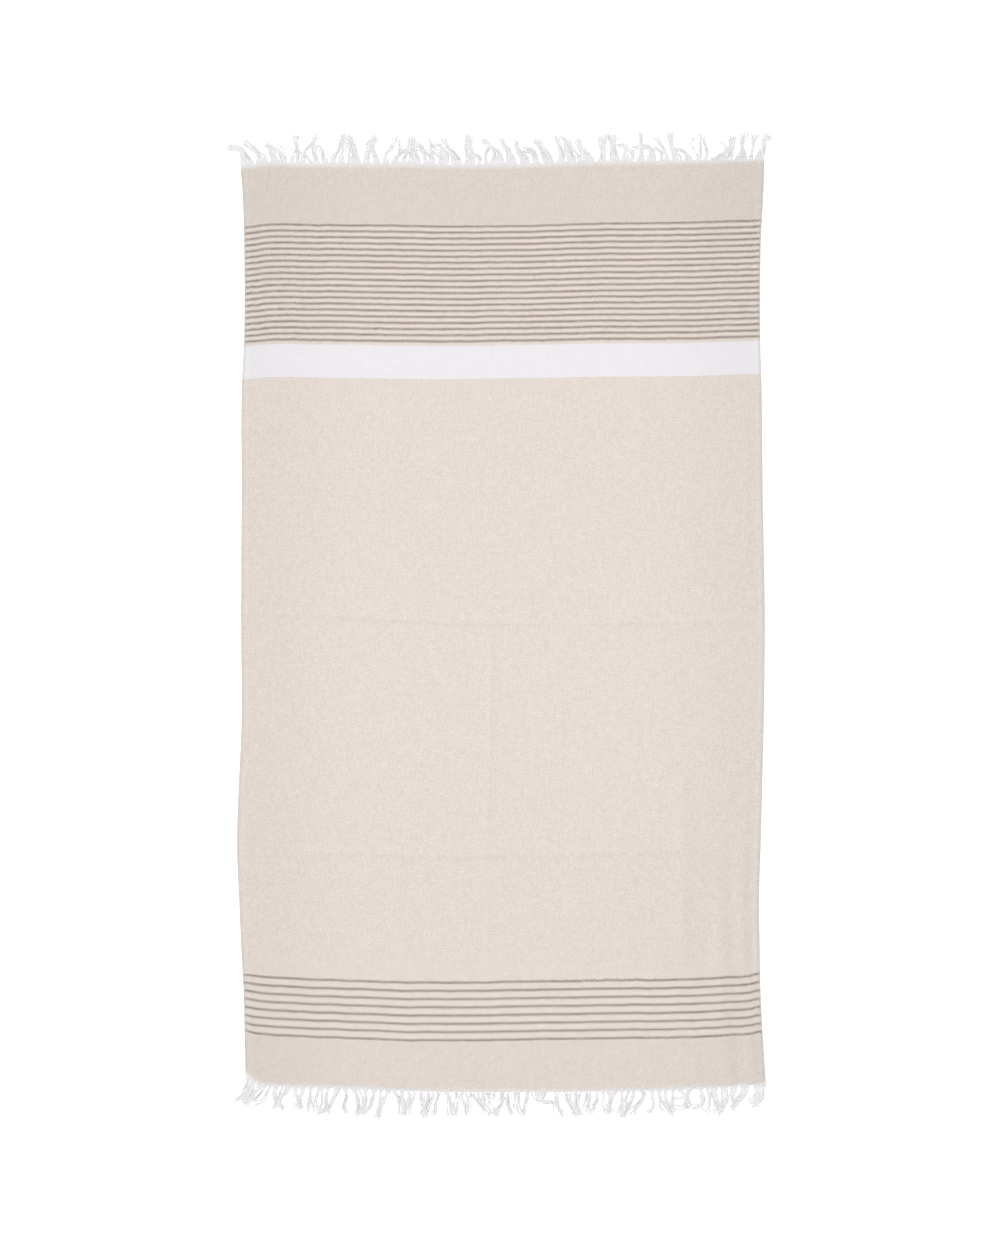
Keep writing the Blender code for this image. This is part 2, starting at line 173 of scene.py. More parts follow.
def liftAt(mean, along):
    # how far the cloth's underside stands off the floor
    lift = np.zeros_like(mean)
    for crease in sheetFacts["crosswise"]:
        high, halfWide = crease[3:]
        distance = along - crosswiseAt(crease, mean)
        lift = np.maximum(lift, high * mm * creaseProfile(distance, halfWide * mm))
    footAlong, headAlong = (end * mm for end in plan["along"])
    for atFoot, atHead, high, halfWide, starts, ends, fadeOver in sheetFacts["lengthwise"]:
        share = (along - footAlong) / (headAlong - footAlong)
        distance = mean - (atFoot + share * (atHead - atFoot)) * mm
        inside = np.minimum(along - starts * mm, ends * mm - along)
        fade = ridge(np.maximum(0, fadeOver * mm - inside), fadeOver * mm)
        lift = np.maximum(lift, high * mm * fade * creaseProfile(distance, halfWide * mm))
    for x0, y0, x1, y1, halfWide, high in sheetFacts["swells"]:
        run = np.array((x1 - x0, y1 - y0)) * mm
        length = np.hypot(*run)
        run /= length
        rightwards, upwards = mean - x0 * mm, along - y0 * mm
        place = rightwards * run[0] + upwards * run[1]
        beside = rightwards * run[1] - upwards * run[0]
        fade = ridge(np.clip(np.abs(place / length - 0.5) * 2, 0, 1), 1)
        lift += high * mm * fade * ridge(beside, halfWide * mm)
    return lift


def linesBetween(low, high, creases):
    # evenly spaced places from low to high, with closer ones beside each crease
    near = sorted(crease + side * off * mm for crease in creases for side in (-1, 1)
                  for off in (0, *sheetFacts["nearCrease"]))
    spacing = sheetFacts["spacing"] * mm
    places = sorted({low, high, *(place for place in near if low < place < high)})
    lines = []
    for here, following in zip(places, places[1:]):
        steps = max(1, round((following - here) / spacing))
        lines += [here + (following - here) * step / steps for step in range(steps)]
    return np.array(lines + [high])


def placesOf(mesh):
    # a row for each vertex
    places = np.empty(len(mesh.vertices) * 3)
    mesh.vertices.foreach_get("co", places)
    return places.reshape(-1, 3)


def layMap(mesh, name, onPiece):
    # gives a piece its own map, from a place in metres for each vertex
    corners = np.empty(len(mesh.loops), int)
    mesh.loops.foreach_get("vertex_index", corners)
    layer = mesh.uv_layers[0] if mesh.uv_layers else mesh.uv_layers.new()
    layer.name = name
    layer.uv.foreach_set("vector", onPiece[corners].astype(np.float32).ravel())


def makeSheet():
    footAlong, headAlong = (end * mm for end in plan["along"])
    creaseRows = [crease[1] * mm for crease in sheetFacts["crosswise"]]
    columns = linesBetween(meanLow, meanHigh, [place * mm for place in sheetFacts["closeColumns"]])
    rows = linesBetween(footAlong, headAlong, creaseRows)

    bpy.ops.object.select_all(action="DESELECT")
    bpy.ops.mesh.primitive_grid_add(x_subdivisions=len(columns) - 1, y_subdivisions=len(rows) - 1, size=1)
    sheet = bpy.context.object
    sheet.name = sheet.data.name = "towelSheet"
    mesh = sheet.data
    gridAcross, gridAlong = placesOf(mesh)[:, :2].T + 0.5
    mean = columns[np.rint(gridAcross * (len(columns) - 1)).astype(int)]
    row = rows[np.rint(gridAlong * (len(rows) - 1)).astype(int)]

    # rows bend with the creases beside them, and stray where the photograph's do
    followed = row.copy()
    for crease, creaseRow in zip(sheetFacts["crosswise"], creaseRows):
        moved = crosswiseAt(crease, mean) - creaseRow
        followed += moved * ridge(row - creaseRow, sheetFacts["follow"] * mm)
    for middle, holds, knots in plan["rowBends"]:
        beyond = np.abs(row - middle * mm) - holds * mm
        followed += smoothThrough(knots, mean) * (1 - eased(beyond / (plan["rowBendFade"] * mm)))
    share = (followed - footAlong) / (headAlong - footAlong)
    across, along = clothPlace(mean, share)
    lift = liftAt(mean, along)
    for high, size in sheetFacts["unevenness"]:
        waves = [noise.noise(Vector((x, y, high)) / (size * mm)) for x, y in zip(across, along)]
        lift += high * mm * (0.5 + 0.5 * np.array(waves))
    lift -= lift.min()
    mesh.vertices.foreach_set("co", np.column_stack((across, along, lift)).ravel())

    # the cloth's own map: u from the left selvedge, v from the foot
    layMap(mesh, "clothMap", np.column_stack((mean - meanLow, row - footAlong)))

    thicken = sheet.modifiers.new("thickness", "SOLIDIFY")
    thicken.thickness = sheetFacts["thick"] * mm
    thicken.offset = 1
    roundOff = sheet.modifiers.new("worn edge", "BEVEL")
    roundOff.width = sheetFacts["edgeRound"] * mm
    roundOff.segments = sheetFacts["edgeSteps"]
    roundOff.limit_method = "ANGLE"
    roundOff.angle_limit = math.radians(sheetFacts["edgeAngle"])
    for modifier in ("thickness", "worn edge"):
        bpy.ops.object.modifier_apply(modifier=modifier)
    bpy.ops.object.shade_smooth_by_angle(angle=math.radians(sheetFacts["smoothAngle"]))
    return sheet


# the fringes' yarns; lengths in mm
fringeFacts = {
    "endSpacing": 0.84,  # between warp ends along the cloth's edge
    "sideSpacing": 0.40,  # the same in the close-set ends beside the selvedges
    "sideWide": 19,
    "endMargins": (0.8, 0.6),  # how far in from the sides the first and last ends lie
    "yarnRadius": 0.74,
    "tipRadii": (1.0, 0.92, 0.7),  # shares of the radius at a yarn's last points
    "tucked": (1.6, 1.2),  # how far an end reaches back into the cloth, and how high
    "held": (1.8, 1.0),  # how far out the picks still hold the ends apart, and how high
    "heldFollows": 0.3,  # how far that height follows the root's
    "turnsIn": 0.65,  # share of the way to its root at which a yarn lies low
    "rootHigh": (1.0, 1.8),  # height of a lock's root, in radii
    "heading": 7.0,  # how far out the locks' roots lie
    # a root narrows to a bundle over this length and this share of its width, but at most
    # this share of the lock's length
    "gatherOver": (8, 0.88, 0.62),
    "packing": 0.85,  # share of a bundle's section that yarn fills
    "ringArea": (0.35, 1),  # where in the section a yarn lies, from the middle to the rim
    "bundleWide": 1.5,  # half width of a bundle, against the same yarns packed round
    "bundleHigh": 0.4,
    "twist": (0.5, 2.5),  # radians over a lock's length
    "splay": (0.1, 0.7),  # how much a bundle opens towards its tip
    "splayFrom": 0.62,  # share of the length
    "steps": (0.07, 0.16, 0.27, 0.39, 0.51, 0.63, 0.75, 0.87, 1.0),  # shares of a yarn's length
    "lengths": (0.93, 1.05),  # shares of its lock's length
    "runsOn": 5,  # how far a lock's middle line is drawn out past its last point
    "strays": 0.06,  # share of yarns that leave their lock
    "strayBy": 3.5,
    "swayBy": 0.5,  # the same for the others
    "tipAway": 1.0,
    "tipFrom": 0.7,
    "jitter": 0.08,
    "settleBy": 0.45,  # how much lower a bundle is at its tip
    "settleFrom": 0.6,
    "passOver": 1.3,  # most that a lock rides up over others
    "picks": (0.9, 2.1, 3.5),  # white weft threads laid across, out from the beige cloth
    "pickWave": (0.15, 1.7),  # height, and radians from point to point
}

# each lock of a fringe, in mm: the left and right of its root, then points along its middle
headLocks = (
    (-497, -489, (-493, 900), (-496, 909), (-504, 914), (-520, 914)),
    (-497, -490, (-495, 900), (-495, 909), (-501, 917), (-511, 920), (-522, 919)),
    (-490, -482, (-490, 900), (-493, 909), (-499, 917), (-508, 919), (-519, 921)),
    (-489, -480, (-489, 899), (-493, 909), (-501, 915), (-512, 916), (-522, 916)),
    (-480, -470, (-484, 899), (-491, 909), (-500, 916), (-509, 917), (-517, 917)),
    (-467, -459, (-463, 897), (-464, 904), (-469, 911), (-477, 914), (-484, 919), (-490, 923)),
    (-459, -451, (-459, 897), (-461, 904), (-465, 912), (-473, 918), (-481, 924), (-489, 931)),
    (-451, -443, (-449, 896), (-454, 902), (-461, 906), (-468, 914), (-475, 918), (-487, 929)),
    (-440, -432, (-435, 896), (-438, 905), (-440, 914), (-444, 921), (-448, 926)),
    (-432, -428, (-433, 897), (-437, 904), (-441, 915), (-445, 921), (-449, 921), (-452, 914)),
    (-428, -421, (-430, 899), (-431, 908), (-434, 916), (-439, 922)),
    (-421, -415, (-420, 900), (-426, 909), (-431, 914), (-436, 918), (-440, 921)),
    (-415, -408, (-411, 897), (-414, 904), (-419, 911), (-422, 917), (-428, 921)),
    (-403, -395, (-398, 895), (-395, 903), (-391, 910), (-388, 918), (-391, 927), (-393, 935), (-390, 941)),
    (-391, -384, (-387, 896), (-386, 905), (-387, 913), (-388, 921), (-391, 930), (-386, 939)),
    (-383, -376, (-378, 896), (-377, 904), (-373, 911), (-367, 918), (-360, 923), (-355, 931), (-346, 940)),
    (-376, -370, (-375, 896), (-376, 903), (-372, 911), (-365, 919), (-358, 926), (-353, 934), (-349, 938)),
    (-366, -361, (-366, 895), (-370, 901), (-377, 906), (-386, 909), (-394, 912)),
    (-361, -359, (-363, 894), (-370, 901), (-378, 907), (-394, 912), (-406, 915), (-419, 916)),
    (-358, -352, (-355, 896), (-358, 906), (-359, 916), (-357, 925), (-356, 933), (-354, 943)),
    (-352, -344, (-350, 895), (-353, 903), (-355, 912), (-354, 921), (-349, 926)),
    (-341, -335, (-339, 896), (-339, 906), (-340, 913), (-344, 919), (-347, 916), (-347, 909)),
    (-335, -331, (-336, 895), (-337, 904), (-339, 912), (-343, 918), (-346, 919)),
    (-331, -327, (-332, 894), (-334, 902)),
    (-325, -318, (-320, 896), (-317, 903), (-311, 911), (-307, 922), (-304, 932), (-302, 941)),
    (-318, -312, (-316, 895), (-313, 904), (-308, 914), (-305, 925), (-302, 934), (-299, 943)),
    (-310, -303, (-305, 895), (-303, 904), (-302, 915), (-301, 928), (-298, 940)),
    (-303, -295, (-301, 895), (-300, 905), (-297, 916), (-293, 925), (-292, 934), (-291, 941)),
    (-293, -287, (-288, 895), (-288, 908), (-288, 920), (-293, 929), (-296, 938)),
    (-287, -281, (-283, 895), (-281, 904), (-283, 914), (-286, 923), (-288, 932), (-289, 941)),
    (-281, -274, (-278, 896), (-280, 905), (-282, 915), (-285, 925), (-288, 934), (-286, 943)),
    (-274, -268, (-272, 895), (-274, 904), (-276, 914), (-279, 924), (-281, 932), (-285, 941)),
    (-268, -265, (-270, 896), (-274, 906), (-276, 916), (-277, 928), (-278, 939)),
    (-262, -255, (-257, 897), (-254, 906), (-252, 916), (-250, 926), (-245, 932), (-236, 938)),
    (-255, -247, (-252, 896), (-251, 906), (-248, 916), (-247, 925), (-243, 931), (-235, 937)),
    (-243, -236, (-239, 896), (-240, 904), (-243, 912), (-242, 922), (-241, 931), (-237, 938)),
    (-236, -228, (-235, 896), (-238, 904), (-241, 912), (-241, 922), (-239, 930), (-234, 938)),
    (-224, -217, (-220, 896), (-219, 903), (-214, 910), (-207, 917), (-203, 926), (-200, 940)),
    (-217, -211, (-217, 895), (-218, 902), (-213, 910), (-206, 915), (-200, 916)),
    (-207, -200, (-200, 896), (-195, 902), (-190, 910), (-189, 919), (-193, 929), (-198, 938)),
    (-200, -190, (-197, 896), (-192, 902), (-186, 908), (-178, 911), (-166, 913), (-150, 915)),
    (-189, -183, (-184, 896), (-182, 902), (-176, 909), (-172, 918), (-171, 929), (-168, 940)),
    (-183, -176, (-181, 895), (-180, 901), (-174, 910), (-170, 918), (-168, 927), (-163, 938)),
    (-176, -170, (-172, 896), (-171, 905), (-171, 915), (-169, 926), (-165, 935), (-163, 940)),
    (-170, -162, (-167, 895), (-167, 902), (-172, 910), (-173, 920), (-171, 931), (-170, 940)),
    (-162, -156, (-160, 895), (-162, 902), (-168, 908), (-173, 914), (-174, 922)),
    (-156, -149, (-153, 894), (-158, 900), (-162, 908), (-164, 917), (-161, 927), (-158, 936)),
    (-146, -138, (-142, 895), (-144, 904), (-149, 911), (-150, 919), (-156, 923), (-166, 924)),
    (-138, -132, (-133, 896), (-136, 904), (-142, 911), (-149, 917), (-151, 921), (-142, 922)),
    (-132, -128, (-132, 896), (-135, 904), (-141, 910), (-149, 914), (-160, 914), (-168, 913)),
    (-128, -122, (-127, 896), (-129, 905), (-131, 913), (-129, 921), (-131, 929), (-131, 937)),
    (-118, -110, (-113, 896), (-117, 903), (-124, 909), (-128, 916), (-130, 922), (-136, 925)),
    (-109, -103, (-106, 896), (-108, 904), (-114, 911), (-122, 913), (-130, 916)),
    (-103, -97, (-99, 896), (-101, 903), (-105, 910), (-112, 917), (-120, 922), (-131, 921)),
    (-91, -85, (-89, 896), (-92, 904), (-99, 910), (-105, 916), (-109, 924), (-115, 932)),
    (-85, -78, (-84, 896), (-89, 905), (-96, 913), (-102, 920), (-105, 929), (-108, 937)),
    (-78, -71, (-77, 896), (-82, 902), (-88, 910), (-96, 916), (-101, 923), (-106, 934)),
    (-68, -61, (-61, 897), (-62, 904), (-64, 912), (-63, 921), (-61, 931), (-63, 942)),
    (-61, -54, (-57, 896), (-60, 905), (-62, 914), (-59, 924), (-60, 933), (-61, 942)),
    (-54, -46, (-50, 896), (-53, 904), (-56, 913), (-57, 923), (-57, 932), (-57, 938)),
    (-42, -34, (-37, 895), (-38, 899), (-44, 902), (-50, 904), (-54, 911), (-56, 920), (-54, 930)),
    (-30, -21, (-26, 896), (-26, 904), (-23, 911), (-19, 918), (-23, 925), (-31, 932)),
    (-20, -13, (-12, 897), (-10, 904), (-11, 911), (-16, 917), (-22, 924), (-32, 933)),
    (-13, -6, (-8, 896), (-8, 905), (-11, 913), (-17, 919), (-23, 926), (-30, 933)),
    (-6, 1, (-3, 896), (-3, 905), (-6, 912), (-13, 917), (-20, 923), (-28, 930)),
    (1, 7, (2, 897), (1, 906), (-3, 912), (-11, 917), (-18, 922), (-28, 923), (-38, 923)),
    (7, 12, (7, 895), (4, 902), (2, 909), (-1, 914), (-6, 919), (-7, 925)),
    (13, 20, (16, 896), (16, 905), (13, 913), (9, 920), (6, 928), (1, 937)),
    (20, 27, (21, 896), (20, 905), (17, 913), (11, 919), (7, 927), (3, 935)),
    (27, 35, (28, 895), (24, 902), (20, 910), (20, 915), (14, 919), (9, 925), (4, 933)),
    (40, 47, (42, 896), (38, 902), (34, 910), (33, 919), (32, 926), (27, 929)),
    (47, 53, (47, 895), (43, 902), (37, 909), (34, 917), (34, 925), (38, 931)),
    (53, 60, (55, 895), (50, 900), (44, 906), (38, 911), (35, 918), (33, 926)),
    (64, 70, (66, 896), (66, 902), (61, 908), (51, 909), (41, 907), (35, 911)),
    (70, 78, (73, 895), (72, 901), (68, 908), (62, 913), (53, 914), (45, 911)),
    (85, 92, (86, 896), (82, 904), (80, 912), (76, 920), (71, 927), (65, 932)),
    (92, 99, (91, 896), (86, 904), (82, 912), (79, 920), (75, 928), (70, 937)),
    (99, 106, (100, 896), (95, 904), (89, 911), (84, 917), (80, 925), (76, 935)),
    (110, 116, (116, 896), (116, 905), (115, 914), (112, 923), (109, 932), (106, 941)),
    (116, 122, (119, 896), (119, 906), (117, 915), (114, 923), (111, 930), (108, 938)),
    (122, 128, (124, 896), (123, 905), (120, 913), (116, 921), (113, 928), (110, 934)),
    (130, 136, (133, 896), (132, 905), (129, 914), (127, 923), (126, 932), (126, 941)),
    (136, 142, (138, 896), (135, 905), (132, 913), (130, 921), (124, 930), (120, 936), (115, 940)),
    (142, 148, (145, 896), (140, 903), (137, 910), (133, 918), (130, 926), (131, 936)),
    (150, 157, (154, 896), (149, 902), (143, 909), (139, 917), (134, 924), (131, 933)),
    (157, 161, (158, 896), (153, 902), (147, 909), (141, 916), (138, 924), (137, 935)),
    (162, 167, (163, 896), (159, 903), (156, 911), (153, 920), (149, 928), (141, 929)),
    (167, 172, (168, 896), (163, 904), (159, 912), (156, 920), (152, 929), (148, 936)),
    (172, 177, (173, 896), (168, 903), (163, 911), (158, 919), (154, 927), (150, 935)),
    (177, 183, (179, 897), (175, 902), (169, 908), (163, 914), (159, 921), (155, 929), (151, 933)),
    (189, 191, (195, 896), (197, 908), (195, 920), (193, 930), (193, 941)),
    (191, 198, (197, 897), (200, 906), (199, 916), (198, 926), (198, 935), (198, 943)),
    (198, 203, (201, 897), (202, 907), (201, 917), (202, 926), (205, 935), (207, 946)),
    (203, 207, (203, 896), (202, 906), (200, 917), (200, 927), (203, 935), (208, 944)),
    (211, 217, (215, 897), (215, 907), (216, 916), (214, 926), (212, 934), (212, 943)),
    (217, 223, (219, 897), (218, 907), (218, 917), (217, 927), (216, 935), (216, 943)),
    (223, 228, (224, 896), (222, 905), (220, 914), (220, 924), (222, 933), (222, 944)),
    (228, 233, (229, 896), (227, 904), (224, 912), (222, 921), (224, 930), (227, 937)),
    (235, 240, (238, 898), (241, 906), (241, 914), (238, 921), (231, 922), (223, 920)),
    (240, 246, (244, 897), (244, 906), (242, 914), (239, 921), (231, 924)),
    (246, 251, (248, 897), (246, 905), (244, 912), (241, 919), (235, 922), (228, 921)),
    (251, 258, (256, 896), (257, 903), (254, 909), (249, 914), (244, 918), (239, 921)),
    (264, 270, (269, 896), (271, 906), (271, 918), (271, 930), (270, 948)),
    (270, 275, (272, 897), (273, 908), (273, 920), (272, 932), (274, 947)),
    (275, 281, (276, 896), (274, 905), (273, 915), (272, 925), (271, 936)),
    (283, 290, (286, 896), (289, 903), (291, 910), (286, 916), (278, 917), (267, 914)),
    (290, 296, (293, 896), (294, 903), (292, 911), (287, 917), (279, 919), (268, 918), (259, 915)),
    (296, 302, (299, 896), (297, 903), (293, 911), (287, 918), (278, 920), (266, 917), (255, 913)),
    (308, 313, (310, 896), (311, 903), (311, 909), (306, 913), (301, 915), (295, 916)),
    (313, 317, (313, 896), (313, 904), (310, 911), (303, 914), (297, 916)),
    (317, 322, (321, 897), (319, 906), (316, 915), (312, 922), (305, 929), (301, 938)),
    (322, 328, (324, 896), (321, 903), (318, 910), (315, 918), (309, 925), (303, 933), (299, 941)),
    (331, 336, (334, 896), (334, 904), (331, 912), (330, 920), (328, 929), (326, 938), (321, 944)),
    (336, 341, (337, 896), (335, 905), (333, 914), (331, 923), (329, 932), (328, 940), (327, 948)),
    (341, 347, (342, 896), (338, 904), (335, 912), (332, 921), (331, 930), (334, 939), (338, 948)),
    (347, 353, (351, 896), (347, 902), (340, 907), (336, 912), (333, 920), (331, 930), (327, 943)),
    (355, 361, (359, 896), (358, 904), (353, 910), (346, 913), (338, 914), (331, 913)),
    (361, 367, (364, 896), (360, 903), (355, 909), (348, 912), (340, 912), (333, 911)),
    (367, 374, (369, 895), (363, 902), (357, 908), (352, 912), (350, 917)),
    (379, 384, (382, 896), (380, 905), (377, 912), (372, 919), (367, 925), (370, 932), (377, 939)),
    (384, 389, (387, 897), (387, 909), (387, 922), (385, 932), (381, 945)),
    (391, 396, (396, 897), (399, 905), (399, 913), (396, 921), (393, 930), (390, 945)),
    (396, 401, (398, 896), (400, 905), (399, 914), (394, 923), (392, 932), (389, 944)),
    (405, 412, (413, 896), (419, 902), (428, 905), (436, 909), (441, 914), (446, 922), (444, 933)),
    (412, 420, (418, 896), (423, 901), (431, 906), (438, 911), (444, 918), (446, 927), (449, 938)),
    (423, 431, (428, 897), (432, 905), (435, 913), (435, 921), (431, 927), (426, 931)),
    (431, 437, (436, 897), (441, 906), (444, 914), (445, 923), (444, 931), (440, 937)),
    (437, 443, (441, 897), (444, 906), (446, 915), (447, 925), (447, 934), (445, 945)),
    (443, 450, (447, 897), (448, 907), (449, 917), (450, 927), (451, 933), (449, 941)),
    (451, 457, (457, 897), (461, 906), (464, 915), (464, 925), (465, 935), (460, 948)),
    (457, 463, (461, 896), (463, 906), (466, 916), (466, 926), (468, 936), (473, 947)),
    (463, 469, (466, 896), (467, 906), (466, 916), (467, 926), (468, 936), (470, 946)),
    (469, 477, (473, 896), (472, 904), (469, 912), (466, 921), (469, 931), (474, 940), (478, 949)),
    (478, 483, (481, 897), (484, 906), (486, 915), (487, 925), (486, 934), (488, 947)),
    (483, 489, (486, 897), (486, 907), (487, 917), (489, 926), (492, 934), (497, 947)),
    (489, 495, (495, 899), (499, 908), (503, 919), (507, 928), (508, 937), (509, 947)),
    (493, 498, (497, 899), (501, 909), (505, 919), (508, 927), (513, 935), (518, 942)),
    (495, 500, (499, 899), (503, 909), (506, 919), (508, 928), (511, 936), (515, 944)),
    (497, 502, (501, 900), (505, 910), (508, 920), (511, 928), (517, 934), (524, 936)),
    (499, 504, (503, 900), (505, 910), (508, 920), (510, 928), (512, 937), (514, 945)),
    (501, 505, (503, 900), (506, 911), (508, 921), (510, 929), (515, 934), (523, 938)),
    (505, 510, (507, 901), (509, 912), (509, 922), (510, 930), (514, 936), (521, 942)),
)
